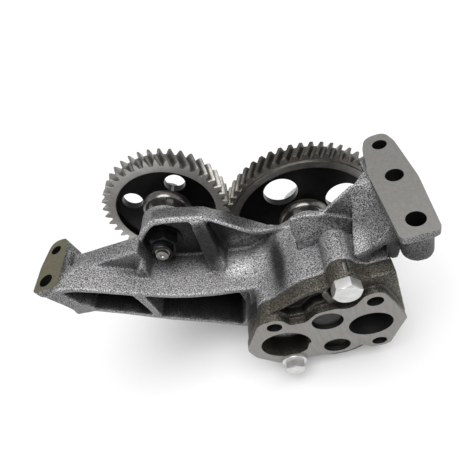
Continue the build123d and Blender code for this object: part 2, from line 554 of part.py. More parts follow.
def rear_outline():
    """Outline of the rear housing's thick plate."""
    shape = Circle(24.0) + Pos(0, -PUMP_CENTRES) * Circle(24.0)
    plate = [(-8.4, 20.0, 1), (-5.2, 32.0, 1), (12.0, 40.0, 3), (34.0, 42.0, 3), (51.0, 40.0, 2),
             (50.5, 20.0, 2), (43.0, 2.0, 3), (40.0, -30.0, 4), (20.0, -52.0, 3), (0.0, -50.0, 1)]
    return shape + outline(plate)


def tower_plate():
    """Thin upright plate over the drive shaft, its left edge free."""
    tower = [(-8.4, 20.0, 1), (-5.4, 33.0, 1), (-6.2, 46.8, 3), (-4.6, 60.6, 2), (3.0, 61.8, 3),
             (16.8, 57.2, 1), (33.0, 46.0, 1), (33.0, 20.0, 1)]
    plate = across(outline(tower), REAR_Y, REAR_Y + 6.0)
    behind = Polyline((REAR_Y + 2.0, 70), (REAR_Y + 2.0, 61), (REAR_Y + 7.0, 52.6),
                      (REAR_Y + 7.0, 70), close=True)
    side_plane = Plane(origin=(-10.0, 0, 0), x_dir=(0, 1, 0), z_dir=(1, 0, 0))
    plate -= extrude(side_plane * make_face(behind), amount=25.0)
    edge = Polyline((-10.0, REAR_Y - 1), (-1.6, REAR_Y - 1), (-2.0, REAR_Y),
                    (-7.2, REAR_Y + 2.4), (-10.0, REAR_Y + 2.4), close=True)
    return plate - extrude(Pos(0, 0, 33.5) * make_face(edge), amount=30)


def leaning_wall():
    """Wall between the tower plate and the flange, leaning back as it rises."""
    z_low = 37.0
    low = [(14.0, REAR_Y, z_low), (33.0, REAR_Y, z_low), (33.0, REAR_Y + 8, z_low),
           (14.0, REAR_Y + 8, z_low)]
    high = [(15.6, REAR_Y + 0.6, 57.6), (37.0, REAR_Y + 8, 65.8), (37.0, REAR_Y + 10.4, 65.8),
            (15.6, REAR_Y + 3.0, 57.6)]
    wires = [Wire(Polyline(*points, close=True).edges()) for points in (low, high)]
    return Part(Solid.make_loft(wires, ruled=True).wrapped)


def flange_support():
    """Casting under the flange plate: low and hollow in front, level with it at the back."""
    front = [(26.8, 41.8), (34.5, 44.4), (43.6, 51.2), (49.8, 61.9), (59.0, 61.9), (57.0, 50.0),
             (51.6, 28.8), (34.0, 29.8)]
    middle = [(31.0, 43.6), (37.0, 47.0), (44.6, 55.0), (49.8, 62.6), (59.0, 61.9), (55.4, 50.0),
              (51.0, 31.0), (34.0, 29.8)]
    back = [(36.8, 65.6), (41.0, 65.8), (46.0, 66.0), (50.0, 66.0), (59.0, 61.9), (55.4, 50.0),
            (51.0, 31.0), (36.0, 29.8)]
    end = [(45.6, 65.6), (47.4, 65.8), (49.0, 66.0), (51.0, 66.0), (59.0, 61.9), (55.4, 50.0),
           (51.0, 37.0), (44.0, 38.0)]
    places = ((front, HOUSING_Y + 0.3), (middle, REAR_Y - 3), (back, REAR_Y + 8), (end, REAR_Y + 18))
    wires = [section(points, y) for points, y in places]
    return Part(Solid.make_loft(wires, ruled=True).wrapped)


def rear_housing():
    body = across(rear_outline(), REAR_Y, REAR_BACK_Y)
    body += disc(0, 0, NOSE_RADIUS, REAR_BACK_Y - 1, NOSE_END_Y)
    body += disc(0, -PUMP_CENTRES, TAIL_BOSS_RADIUS, REAR_BACK_Y - 1, REAR_BACK_Y + TAIL_BOSS)
    body += tower_plate() + leaning_wall() + flange_support()
    body += flange_plate()
    for (y, radius), boss, length in zip(FLANGE_HOLES, FLANGE_BOSS_RADII, FLANGE_BOSS_LENGTHS):
        body += upright(FLANGE_HOLE_X, y, boss, FLANGE_Z - length, FLANGE_Z - 1)
    rear_web = [(REAR_Y, 61.8), (FLANGE_END_Y - 14, 61.8), (REAR_BACK_Y, 37.0), (REAR_Y, 37.0)]
    web_plane = Plane(origin=(47.0, 0, 0), x_dir=(0, 1, 0), z_dir=(1, 0, 0))
    body += extrude(web_plane * make_face(Polyline(*rear_web, close=True)), amount=7)
    cavity = outline([(35.0, 31.0, 2), (36.6, 38.6, 3), (42.6, 42.2, 3), (46.4, 45.6, 1),
                      (45.6, 31.0, 2)])
    body -= across(cavity, HOUSING_Y - 1, HOUSING_Y + 8)
    clear = joint_outline()
    reach = 0.3
    body -= across(offset(clear, reach), COVER_STEP, REAR_Y)
    for y, radius in FLANGE_HOLES:
        body -= upright(FLANGE_HOLE_X, y, radius, FLANGE_Z - 26, FLANGE_Z + 1)
    body -= disc(0, 0, DRIVE_SHAFT_RADIUS + 0.6, REAR_Y - 1, NOSE_END_Y + 1)
    body -= disc(0, 0, DRIVE_BUSH_RADIUS, REAR_Y - 1, REAR_Y + BUSH_GAP + 2 * BUSH_LENGTH)
    body -= disc(0, -PUMP_CENTRES, DRIVEN_BUSH_RADIUS, REAR_Y - 1, REAR_Y + BUSH_GAP + BUSH_LENGTH)
    body -= bolt_holes((COLUMN_BOLT,), REAR_Y - 1, REAR_BACK_Y - 1, BOLT_SHANK_RADIUS)
    body -= bolt_holes(dowel_centres(), REAR_Y - 1, REAR_Y + DOWEL_LENGTH / 2, DOWEL_RADIUS)
    return body


# ---- shafts, bushes and pump gears -----------------------------------------------------
def key_block():
    """Space of the key between the shaft and the large gear."""
    y_mid = (TEETH_FRONT_Y + TEETH_BACK_Y) / 2
    return block(-KEY_WIDTH / 2, KEY_WIDTH / 2, y_mid - KEY_LENGTH / 2, y_mid + KEY_LENGTH / 2,
                 DRIVE_SHAFT_RADIUS - KEY_HEIGHT / 2, DRIVE_SHAFT_RADIUS + KEY_HEIGHT / 2)


def drive_shaft():
    shaft = disc(0, 0, DRIVE_SHAFT_RADIUS, DRIVE_SHAFT_RECESS, HUB_BACK_Y)
    front = shaft.edges().filter_by(GeomType.CIRCLE).sort_by(Axis.Y)[:1]
    shaft = chamfer(front, 0.7)
    shaft += disc(0, 0, THREAD_RADIUS, HUB_BACK_Y - 1, HUB_BACK_Y + NUT_WASHER + NUT_HEIGHT + 2)
    return shaft - key_block()


def driven_shaft():
    end = REAR_Y + BUSH_GAP + BUSH_LENGTH - 1
    shaft = disc(0, -PUMP_CENTRES, DRIVEN_SHAFT_RADIUS, DRIVEN_SHAFT_RECESS, end)
    return chamfer(shaft.edges().filter_by(GeomType.CIRCLE), 0.6)


def bush(z, shaft_radius, outer_radius, y_from, length):
    """Bearing bush along Y."""
    inner = shaft_radius + RUNNING_CLEARANCE
    return disc(0, z, outer_radius, y_from, y_from + length) - disc(0, z, inner, y_from - 1,
                                                                   y_from + length + 1)


def pump_gear(z, shaft_radius, phase):
    """Spur gear of the pump section."""
    points = gear_points(PUMP_TEETH, PUMP_PITCH_RADIUS, PUMP_TIP_RADIUS, PUMP_ROOT_RADIUS,
                         PUMP_BACKLASH, 4, phase)
    profile = make_face(Polyline(*points, close=True)) - Circle(shaft_radius)
    return across(Pos(0, z) * profile, HOUSING_Y + CHAMBER_CLEARANCE, REAR_Y - CHAMBER_CLEARANCE)


# ---- helical gears ---------------------------------------------------------------------
def large_gear():
    gear = helical_blank(DRIVE_GEAR_TEETH, LARGE_PITCH, LARGE_ADDENDUM, LARGE_PHASE, 1)
    gear = dished(gear, LARGE_HUB_RADIUS, LARGE_RIM_INNER)
    gear += across(Circle(LARGE_RIM_LIP_OUTER) - Circle(LARGE_RIM_INNER),
                   TEETH_FRONT_Y - LARGE_LIP, TEETH_FRONT_Y)
    gear += disc(0, 0, LARGE_HUB_RADIUS, NOSE_END_Y + HUB_FRONT_GAP, HUB_BACK_Y)
    gear += hub_flare(LARGE_HUB_RADIUS)
    gear -= disc(0, 0, DRIVE_SHAFT_RADIUS, NOSE_END_Y, HUB_BACK_Y + 1)
    gear -= ring_of_holes(LARGE_HOLE_CIRCLE, LARGE_HOLE_RADIUS, LARGE_HOLE_ANGLE)
    return gear - key_block()


def small_gear():
    gear = helical_blank(IDLER_TEETH, SMALL_PITCH, SMALL_ADDENDUM, IDLER_PHASE, -1)
    gear = dished(gear, SMALL_HUB_RADIUS, SMALL_RIM_INNER)
    hub_front = IDLER_BOSS_END_Y + THRUST_WASHER + END_FLOAT
    gear += disc(0, 0, SMALL_HUB_RADIUS, hub_front, HUB_BACK_Y)
    gear += hub_flare(SMALL_HUB_RADIUS)
    gear -= disc(0, 0, IDLER_BUSH_RADIUS, hub_front - 1, HUB_BACK_Y + 1)
    gear -= ring_of_holes(SMALL_HOLE_CIRCLE, SMALL_HOLE_RADIUS, SMALL_HOLE_ANGLE)
    return Pos(IDLER_X, 0, IDLER_Z) * gear


# ---- idler support ---------------------------------------------------------------------
def idler_axle():
    journal_end = HUB_BACK_Y + END_FLOAT
    axle = disc(0, 0, AXLE_JOURNAL_RADIUS, IDLER_BOSS_END_Y, journal_end)
    axle += disc(0, 0, AXLE_SPIGOT_RADIUS, WALL_BACK_Y + 3 + SOCKET_BACK, IDLER_BOSS_END_Y + 1)
    axle += disc(0, 0, AXLE_FLANGE_RADIUS, journal_end, journal_end + AXLE_FLANGE_THICKNESS)
    stud = disc(0, 0, STUD_RADIUS, STUD_END_Y + STUD_TIP, IDLER_BOSS_END_Y)
    axle += chamfer(stud.edges().filter_by(GeomType.CIRCLE).sort_by(Axis.Y)[:1], 0.8)
    axle += disc(0, 0, STUD_TIP_RADIUS, STUD_END_Y, STUD_END_Y + STUD_TIP + 1)
    centre_hole = Pos(0, STUD_END_Y + 1, 0) * Rot(90, 0, 0) * Cone(0.1, STUD_CENTRE_HOLE + 0.6, 4)
    axle -= centre_hole
    return Pos(IDLER_X, 0, IDLER_Z) * axle


def idler_bush():
    start = IDLER_BOSS_END_Y + THRUST_WASHER + END_FLOAT
    outer = disc(IDLER_X, IDLER_Z, IDLER_BUSH_RADIUS, start, HUB_BACK_Y)
    return outer - disc(IDLER_X, IDLER_Z, AXLE_JOURNAL_RADIUS + RUNNING_CLEARANCE, start - 1,
                        HUB_BACK_Y + 1)


def ring(x, z, inner, outer, y_from, thickness):
    """Flat washer along Y."""
    return disc(x, z, outer, y_from, y_from + thickness) - disc(x, z, inner, y_from - 1,
                                                                y_from + thickness + 1)


def idler_nut():
    """Hex nut with a round locking collar on the idler's stud."""
    seat = WALL_FRONT_Y - IDLER_WASHER
    front = seat - IDLER_NUT_HEX
    body = across(Pos(IDLER_X, IDLER_Z) * hexagon(IDLER_NUT_FLATS, 30), front, seat)
    rounding = disc(IDLER_X, IDLER_Z, IDLER_NUT_FLATS * 0.56, front, seat)
    body = body & chamfer(rounding.edges().sort_by(Axis.Y)[:1], 1.2)
    collar = disc(IDLER_X, IDLER_Z, IDLER_NUT_COLLAR_RADIUS, front - IDLER_NUT_COLLAR, front + 1)
    body += fillet(collar.edges().sort_by(Axis.Y)[:1], 1.2)
    return body - disc(IDLER_X, IDLER_Z, STUD_RADIUS, front - IDLER_NUT_COLLAR - 1, seat + 1)


# ---- fasteners of the castings ---------------------------------------------------------
def column_bolt():
    reach = REAR_BACK_Y - 1 - SOCKET_BACK - COLUMN_PAD_Y
    return bolt(*COLUMN_BOLT, COLUMN_PAD_Y, reach, BOLT_SHANK_RADIUS, HEX_ACROSS_FLATS,
                HEX_HEIGHT, 6.8)


def flange_bolt():
    """Bolt with a round flange under its head, on its washer."""
    seat = -FLANGE_BOLT_WASHER
    x, z = LOWER_LEFT_BOLT
    reach = REAR_Y - 4 - SOCKET_BACK - seat
    body = bolt(x, z, seat - 1.6, reach, BOLT_SHANK_RADIUS, FLANGE_BOLT_FLATS,
                FLANGE_BOLT_HEAD, 20)
    rim = disc(x, z, FLANGE_BOLT_RIM, seat - 1.6, seat)
    return body + chamfer(rim.edges().sort_by(Axis.Y)[:1], 0.6)


def dowels(y_middle):
    """Pair of dowel pins across a joint."""
    pins = Part()
    half = DOWEL_LENGTH / 2 - SOCKET_BACK
    for x, z in dowel_centres():
        pins += disc(x, z, DOWEL_RADIUS, y_middle - half, y_middle + half)
    return pins


def shaft_nut():
    seat = HUB_BACK_Y + NUT_WASHER
    body = across(hexagon(NUT_ACROSS_FLATS), seat, seat + NUT_HEIGHT)
    return body - disc(0, 0, THREAD_RADIUS, seat - 1, seat + NUT_HEIGHT + 1)


# ---- the assembly: one file per node ---------------------------------------------------
REAR_BUSH_Y = REAR_Y + BUSH_GAP

NODES = {
    "port_cover": port_cover(),
    "gear_housing": gear_housing(),
    "rear_housing": rear_housing(),
    "drive_shaft": drive_shaft(),
    "driven_shaft": driven_shaft(),
    "pump_drive_gear": pump_gear(0, DRIVE_SHAFT_RADIUS, -90),
    "pump_driven_gear": pump_gear(-PUMP_CENTRES, DRIVEN_SHAFT_RADIUS, 90 + 180 / PUMP_TEETH),
    "front_drive_bush": bush(0, DRIVE_SHAFT_RADIUS, DRIVE_BUSH_RADIUS, BUSH_START, BUSH_LENGTH),
    "front_driven_bush": bush(-PUMP_CENTRES, DRIVEN_SHAFT_RADIUS, DRIVEN_BUSH_RADIUS, BUSH_START,
                              BUSH_LENGTH),
    "rear_drive_bush": bush(0, DRIVE_SHAFT_RADIUS, DRIVE_BUSH_RADIUS, REAR_BUSH_Y,
                            2 * BUSH_LENGTH),
    "rear_driven_bush": bush(-PUMP_CENTRES, DRIVEN_SHAFT_RADIUS, DRIVEN_BUSH_RADIUS, REAR_BUSH_Y,
                             BUSH_LENGTH),
    "input_gear": large_gear(),
    "idler_gear": small_gear(),
    "idler_axle": idler_axle(),
    "idler_bush": idler_bush(),
    "idler_thrust_washer": ring(IDLER_X, IDLER_Z, AXLE_JOURNAL_RADIUS + RUNNING_CLEARANCE,
                                AXLE_FLANGE_RADIUS, IDLER_BOSS_END_Y, THRUST_WASHER),
    "idler_nut": idler_nut(),
    "idler_washer": ring(IDLER_X, IDLER_Z, STUD_RADIUS + 0.4, IDLER_WASHER_RADIUS,
                         WALL_FRONT_Y - IDLER_WASHER, IDLER_WASHER),
    "column_bolt": column_bolt(),
    "flange_bolt": flange_bolt(),
    "flange_bolt_washer": ring(*LOWER_LEFT_BOLT, BOLT_HOLE_RADIUS, FLANGE_BOLT_RIM - 0.8,
                               -FLANGE_BOLT_WASHER, FLANGE_BOLT_WASHER),
    "cover_dowels": dowels(HOUSING_Y),
    "rear_dowels": dowels(REAR_Y),
    "gear_key": key_block(),
    "shaft_washer": ring(0, 0, THREAD_RADIUS + 0.3, SHAFT_WASHER_RADIUS, HUB_BACK_Y, NUT_WASHER),
    "shaft_nut": shaft_nut(),
}

for node_name, node_shape in NODES.items():
    export_step(node_shape, f"parts/{node_name}.step")
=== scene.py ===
"""Studio scene of a gear-driven engine oil pump with a long mounting arm."""

import logging
import math
from dataclasses import dataclass, field
from enum import Enum
from functools import cache

import bmesh
import bpy
import numpy as np
from mathutils import Matrix, Vector

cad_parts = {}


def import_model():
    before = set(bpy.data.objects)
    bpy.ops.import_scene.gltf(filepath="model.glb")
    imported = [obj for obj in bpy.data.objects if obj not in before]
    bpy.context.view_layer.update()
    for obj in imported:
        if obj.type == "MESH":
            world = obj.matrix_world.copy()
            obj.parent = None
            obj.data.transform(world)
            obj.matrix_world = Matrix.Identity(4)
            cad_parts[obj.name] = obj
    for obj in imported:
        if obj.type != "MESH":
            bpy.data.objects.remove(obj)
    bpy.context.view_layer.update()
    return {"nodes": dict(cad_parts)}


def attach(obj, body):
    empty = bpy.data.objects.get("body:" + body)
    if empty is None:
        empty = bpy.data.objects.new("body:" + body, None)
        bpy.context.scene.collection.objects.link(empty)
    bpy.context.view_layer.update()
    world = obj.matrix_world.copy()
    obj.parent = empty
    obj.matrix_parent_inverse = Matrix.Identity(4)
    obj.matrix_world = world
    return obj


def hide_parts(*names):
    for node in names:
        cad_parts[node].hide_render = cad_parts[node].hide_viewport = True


LOG = logging.getLogger("oil_pump")
MM = 0.001
ROUND_SIDES = 96  # sides of whatever is round
IDLER = (-97.7, 53.0)  # X and Z of the idler's axis
PUMP_CENTRES = 37.2  # from the drive shaft down to the driven shaft
COLUMN_BOLT = (17.6, 34.0)  # X and Z of the long bolt
LOWER_BOLT = (-34.5, -46.4)  # X and Z of the bolt below the inlet
SHANK = 4.9  # radius of both bolts' shanks
FORWARD = (0.0, -1.0, 0.0)  # the way the cover faces
UPWARD = (0.45, 0.0, 0.89)  # up and to the right
ALONG_Y = Matrix.Rotation(math.pi / 2, 4, "X")  # lays down what stands along Z
Point = tuple[float, float, float]
Line = list[tuple[float, float]]
Object = bpy.types.Object
Tree = bpy.types.NodeTree
Socket = bpy.types.NodeSocket
Mesh = bmesh.types.BMesh


class Body(Enum):
    """Bodies that the built pieces ride on."""

    HOUSING = "housing"
    DRIVE = "drive"
    IDLER = "idler"


# ---- small tools ----
def colour(code: str) -> tuple[float, float, float, float]:
    """Turn an sRGB hex value into a linear colour.

    Args:
        code: Six hex digits.

    Returns:
        Linear red, green, blue and an alpha of 1.
    """
    channels = [int(code[i:i + 2], 16) / 255 for i in (0, 2, 4)]
    linear = [c / 12.92 if c <= 0.04045 else ((c + 0.055) / 1.055) ** 2.4 for c in channels]
    return (linear[0], linear[1], linear[2], 1.0)


def add_node(tree: Tree, kind: str, links: dict | None = None,
             values: dict | None = None, stops: list[tuple[float, str]] | None = None,
             **settings: object) -> bpy.types.Node:
    """Add a node with its settings, socket values and incoming links.

    Args:
        tree: Tree that gets the node.
        kind: Blender's name of the node type.
        links: Input name or number to the output socket that feeds it.
        values: Input name or number to its value.
        stops: Positions on a colour ramp with their sRGB hex values.
        **settings: Properties of the node itself.

    Returns:
        The new node.
    """
    node = tree.nodes.new(kind)
    for key, value in settings.items():
        setattr(node, key, value)
    for key, value in (values or {}).items():
        node.inputs[key].default_value = value
    for key, socket in (links or {}).items():
        tree.links.new(socket, node.inputs[key])
    for number, (place, code) in enumerate(stops or []):
        elements = node.color_ramp.elements
        element = elements[number] if number < len(elements) else elements.new(place)
        element.position = place
        element.color = colour(code)
    return node


def mesh_object(name: str, mesh: Mesh) -> Object:
    """Turn a bmesh into an object at the origin.

    Args:
        name: Name of the object and its mesh.
        mesh: The bmesh, freed afterwards.

    Returns:
        The new object, linked to the scene.
    """
    data = bpy.data.meshes.new(name)
    mesh.to_mesh(data)
    mesh.free()
    obj = bpy.data.objects.new(name, data)
    bpy.context.scene.collection.objects.link(obj)
    return obj


def rod(x: float, other: float, radius: float, start: float, end: float,
        along_z: bool = False) -> Mesh:
    """Closed cylinder along Y or along Z, sizes in millimetres.

    Args:
        x: X of its axis.
        other: Z of an axis along Y, or Y of an axis along Z.
        radius: Its radius.
        start: Where it starts on its axis.
        end: Where it ends.
        along_z: True for an axis along Z.

    Returns:
        Closed mesh.
    """
    mesh = bmesh.new()
    middle = (start + end) / 2
    place = Matrix.Translation(Vector((x, other, middle) if along_z else (x, middle, other)) * MM)
    if not along_z:
        place = place @ ALONG_Y
    bmesh.ops.create_cone(mesh, cap_ends=True, segments=ROUND_SIDES, radius1=radius * MM,
                          radius2=radius * MM, depth=(end - start) * MM, matrix=place)
    return mesh


def slab(low: Point, high: Point) -> Mesh:
    """Closed box between two corners.

    Args:
        low: Its lowest corner in millimetres.
        high: Its highest corner.

    Returns:
        Closed mesh.
    """
    mesh = bmesh.new()
    centre = (Vector(low) + Vector(high)) * MM / 2
    size = (Vector(high) - Vector(low)) * MM
    place = Matrix.Translation(centre) @ Matrix.Diagonal((*size, 1.0))
    bmesh.ops.create_cube(mesh, size=1.0, matrix=place)
    return mesh


def apply_modifier(obj: Object, kind: str, **settings: object) -> None:
    """Add one modifier to an object and bake it into the mesh.

    Args:
        obj: Object to change.
        kind: Blender's name of the modifier type.
        **settings: Properties of the modifier.
    """
    modifier = obj.modifiers.new(kind.title(), kind)
    for key, value in settings.items():
        setattr(modifier, key, value)
    graph = bpy.context.evaluated_depsgraph_get()
    result = bpy.data.meshes.new_from_object(obj.evaluated_get(graph))
    obj.modifiers.remove(modifier)
    old = obj.data
    obj.data = result
    bpy.data.meshes.remove(old)


def cut(obj: Object, cutter: Mesh, operation: str = "DIFFERENCE") -> None:
    """Take a closed mesh away from an object, or unite or intersect the two.

    Args:
        obj: Object to change.
        cutter: The closed mesh.
        operation: Boolean operation.
    """
    bmesh.ops.recalc_face_normals(cutter, faces=cutter.faces[:])
    tool = mesh_object("cutter", cutter)
    apply_modifier(obj, "BOOLEAN", object=tool, operation=operation, solver="MANIFOLD")
    data = tool.data
    bpy.data.objects.remove(tool)
    bpy.data.meshes.remove(data)


def places_and_normals(items: bpy.types.bpy_prop_collection,
                       place: str) -> tuple[np.ndarray, np.ndarray]:
    """Read where the vertices or faces of a mesh are and which way they face.

    Args:
        items: The mesh's vertices or polygons.
        place: What the place is called there: co or center.

    Returns:
        Places in millimetres and normals.
    """
    places, normals = np.empty(len(items) * 3), np.empty(len(items) * 3)
    items.foreach_get(place, places)
    items.foreach_get("normal", normals)
    return places.reshape(-1, 3) / MM, normals.reshape(-1, 3)


# ---- finishes ----
@dataclass(frozen=True)
class Finish:
    """What every finish shares: a Principled surface with a fine relief.

    Grains and marks are drawn coarser than real, so that they show.
    """

    name: str
    roughness: float
    metallic: float
    low: str
    high: str
    bump: float = 0.3
    depth_mm: float = 0.02  # depth of the relief

    def pattern(self, tree: Tree, place: Socket) -> tuple[Socket, Socket]:
        """Make the finish's own pattern.

        Args:
            tree: Tree of the material.
            place: Coordinates in metres.

        Returns:
            The colour and the height.
        """
        raise NotImplementedError

    def build(self) -> bpy.types.Material:
        """Make the material.

        Returns:
            The material.
        """
        material = bpy.data.materials.new(self.name)
        material.use_nodes = True
        tree = material.node_tree
        tone, height = self.pattern(tree, add_node(tree, "ShaderNodeTexCoord").outputs["Object"])
        bump = add_node(tree, "ShaderNodeBump", {"Height": height},
                        {"Strength": self.bump, "Distance": self.depth_mm * MM})
        surface = tree.nodes["Principled BSDF"]
        surface.inputs["Roughness"].default_value = self.roughness
        surface.inputs["Metallic"].default_value = self.metallic
        tree.links.new(tone, surface.inputs["Base Color"])
        tree.links.new(bump.outputs["Normal"], surface.inputs["Normal"])
        return material


@dataclass(frozen=True)
class SandCastIron(Finish):
    """Grey iron from a sand mould: light grey grains over dark pits, with a dull glint.

    Hollows are painted darker as painted shade, convex edges are painted lighter as a painted
    highlight, and zones are painted darker or lighter, mostly as painted light and shade.
    """

    middle: str = "8a898a"
    bump: float = 0.7
    depth_mm: float = 0.22
    grain_mm: float = 0.72  # sand grain
    hollow_mm: float = 26.0  # how far across a hollow that gets painted shade is

    def pattern(self, tree: Tree, place: Socket) -> tuple[Socket, Socket]:
        """Make the grain, the painted shade in hollows, the painted highlight on edges and the
        zones, mostly painted light and shade.

        Args:
            tree: Tree of the material.
            place: Coordinates in metres.

        Returns:
            The colour and the height.
        """
        grain = add_node(tree, "ShaderNodeTexNoise", {"Vector": place},
                         {"Scale": 1000 / self.grain_mm, "Detail": 2.0, "Roughness": 0.6})
        tone = add_node(tree, "ShaderNodeValToRGB", {"Fac": grain.outputs["Fac"]},
                        stops=[(0.37, self.low), (0.49, self.middle), (0.62, self.high)])
        # Painted shade: ambient occlusion darkens hollows, standing in for the shade that falls
        # there.
        open_sky = add_node(tree, "ShaderNodeAmbientOcclusion",
                            values={"Distance": self.hollow_mm * MM}, samples=6, only_local=True)
        hollow_shade = add_node(tree, "ShaderNodeValToRGB", {"Fac": open_sky.outputs["AO"]},
                        stops=[(0.24, "0a0a0a"), (0.42, "484848"), (0.58, "d4d4d4"),
                               (0.78, "ffffff")])
        # Painted highlight: convex edges, found by pointiness, are painted lighter.
        edge = add_node(tree, "ShaderNodeNewGeometry")
        edge_highlight = add_node(tree, "ShaderNodeValToRGB", {"Fac": edge.outputs["Pointiness"]},
                          stops=[(0.45, "bcbcbc"), (0.5, "e4e4e4"), (0.55, "ffffff")])
        zone = add_node(tree, "ShaderNodeAttribute", attribute_name="zone")
        zoned = add_node(tree, "ShaderNodeMath", {0: zone.outputs["Fac"]}, {1: 1.0},
                         operation="ADD")
        result = tone.outputs["Color"]
        for layer in (hollow_shade, edge_highlight, zoned):
            mixed = add_node(tree, "ShaderNodeMix", {6: result, 7: layer.outputs[0]}, {0: 1.0},
                             data_type="RGBA", blend_type="MULTIPLY")
            result = mixed.outputs[2]
        return result, grain.outputs["Fac"]


@dataclass(frozen=True)
class MachinedIron(Finish):
    """Milled grey iron: a smooth grey sheen with the faintest of tool marks."""

    bump: float = 0.06
    depth_mm: float = 0.03
    mark_mm: float = 1.8  # cutter marks
    stretch: float = 0.12  # marks run long one way,
    lean: float = 0.5  # at this angle in radians

    def pattern(self, tree: Tree, place: Socket) -> tuple[Socket, Socket]:
        """Make the tool marks.

        Args:
            tree: Tree of the material.
            place: Coordinates in metres.

        Returns:
            The colour and the height.
        """
        stretch = add_node(tree, "ShaderNodeMapping", {"Vector": place},
                           {"Scale": (1.0, 1.0, self.stretch), "Rotation": (0.0, self.lean, 0.0)})
        marks = add_node(tree, "ShaderNodeTexNoise", {"Vector": stretch.outputs[0]},
                         {"Scale": 1000 / self.mark_mm, "Detail": 2.0})
        tone = add_node(tree, "ShaderNodeValToRGB", {"Fac": marks.outputs["Fac"]},
                        stops=[(0.3, self.low), (0.7, self.high)])
        return tone.outputs["Color"], marks.outputs["Fac"]


@dataclass(frozen=True)
class Steel(Finish):
    """Bare or plated steel: a tone with faint clouding and fine marks."""

    cloud_mm: float = 6.0  # faint patches left by handling
    mark_mm: float = 0.9  # grinding marks

    def pattern(self, tree: Tree, place: Socket) -> tuple[Socket, Socket]:
        """Make the clouding and the marks.

        Args:
            tree: Tree of the material.
            place: Coordinates in metres.

        Returns:
            The colour and the height.
        """
        cloud = add_node(tree, "ShaderNodeTexNoise", {"Vector": place},
                         {"Scale": 1000 / self.cloud_mm, "Detail": 4.0, "Roughness": 0.65})
        tone = add_node(tree, "ShaderNodeValToRGB", {"Fac": cloud.outputs["Fac"]},
                        stops=[(0.35, self.low), (0.65, self.high)])
        fine = add_node(tree, "ShaderNodeTexNoise", {"Vector": place},
                        {"Scale": 1000 / self.mark_mm, "Detail": 2.0})
        return tone.outputs["Color"], fine.outputs["Fac"]


class Metals(Enum):
    """Every finish: name, roughness, metallic share, darker tone and lighter tone."""

    # bare casting: rough light grey, dark in its pits and hollows
    SAND_CAST = SandCastIron("sand_cast_grey_iron", 0.55, 0.35, "19191a", "d2d1d2")
    # the same skin under an oil film: brownish, darker, glossier
    COVER_CAST = SandCastIron("sand_cast_iron_with_oil_film", 0.5, 0.35, "100f0d", "7a7568",
                              middle="423f38")
    # milled flange: an even, silky mid grey
    MACHINED = MachinedIron("milled_grey_iron", 0.4, 0.55, "807e7b", "8a8885")
    # ground port face: lighter and warmer
    PORT = MachinedIron("ground_grey_iron", 0.42, 0.55, "8f8c88", "9f9c97")
    # milled foot under old oil: the same sheen turned olive
    PAD = MachinedIron("milled_iron_with_oil_film", 0.38, 0.55, "5f5c49", "716d59")
    # inside of bores: nearly black, as little light comes back out
    BORED = MachinedIron("bored_grey_iron", 0.6, 0.2, "0a0909", "121110")
    # cut teeth: a soft mirror, bright along the flanks
    GEAR = Steel("hobbed_gear_steel", 0.34, 0.9, "6d6b68", "8b8884")
    # turned end faces of the idler: flat, light and matt
    FACED = Steel("faced_gear_steel", 0.4, 0.5, "bdbbb7", "cfcdc9")
    # cut teeth under brown oil: the same mirror, darker and warmer
    OILED = Steel("hobbed_steel_with_oil_film", 0.34, 0.9, "4a4743", "64605a")
    # turned end faces under oil: a darker, warmer grey
    WORN = Steel("faced_steel_with_oil_film", 0.36, 0.6, "6f6d69", "85827d")
    # forging scale in the recess: black with a faint gloss
    FORGED = Steel("black_forged_steel", 0.3, 0.5, "090909", "131312")
    # fine turned hub: bright rings where its curve mirrors the light
    HUB = Steel("turned_hub_steel", 0.22, 0.9, "6c6a67", "8a8784")
    # turned shaft end deep in its bore: painted shade makes it a dull dark grey
    SHAFT_END = Steel("turned_shaft_steel", 0.45, 0.8, "20201f", "3a3938")
    # ground axle and washers: a clean, tight reflection
    GROUND = Steel("ground_steel", 0.25, 1.0, "9a9894", "b8b6b2")
    # zinc plate: almost white, soft highlights on the flats
    ZINC = Steel("bright_zinc_plate", 0.32, 0.75, "cfcfce", "e4e4e3")
    # black oxide: deep black with sharp thin highlights
    BLACK = Steel("black_oxide_steel", 0.2, 0.4, "0e0e10", "1a1a1d")
    # sintered bush: dark brown and matt
    BRONZE = Steel("sintered_bronze", 0.45, 1.0, "4a3c28", "5c4a30")


@cache
def material_of(metal: Metals) -> bpy.types.Material:
    """Make the material of a finish, once."""
    return metal.value.build()


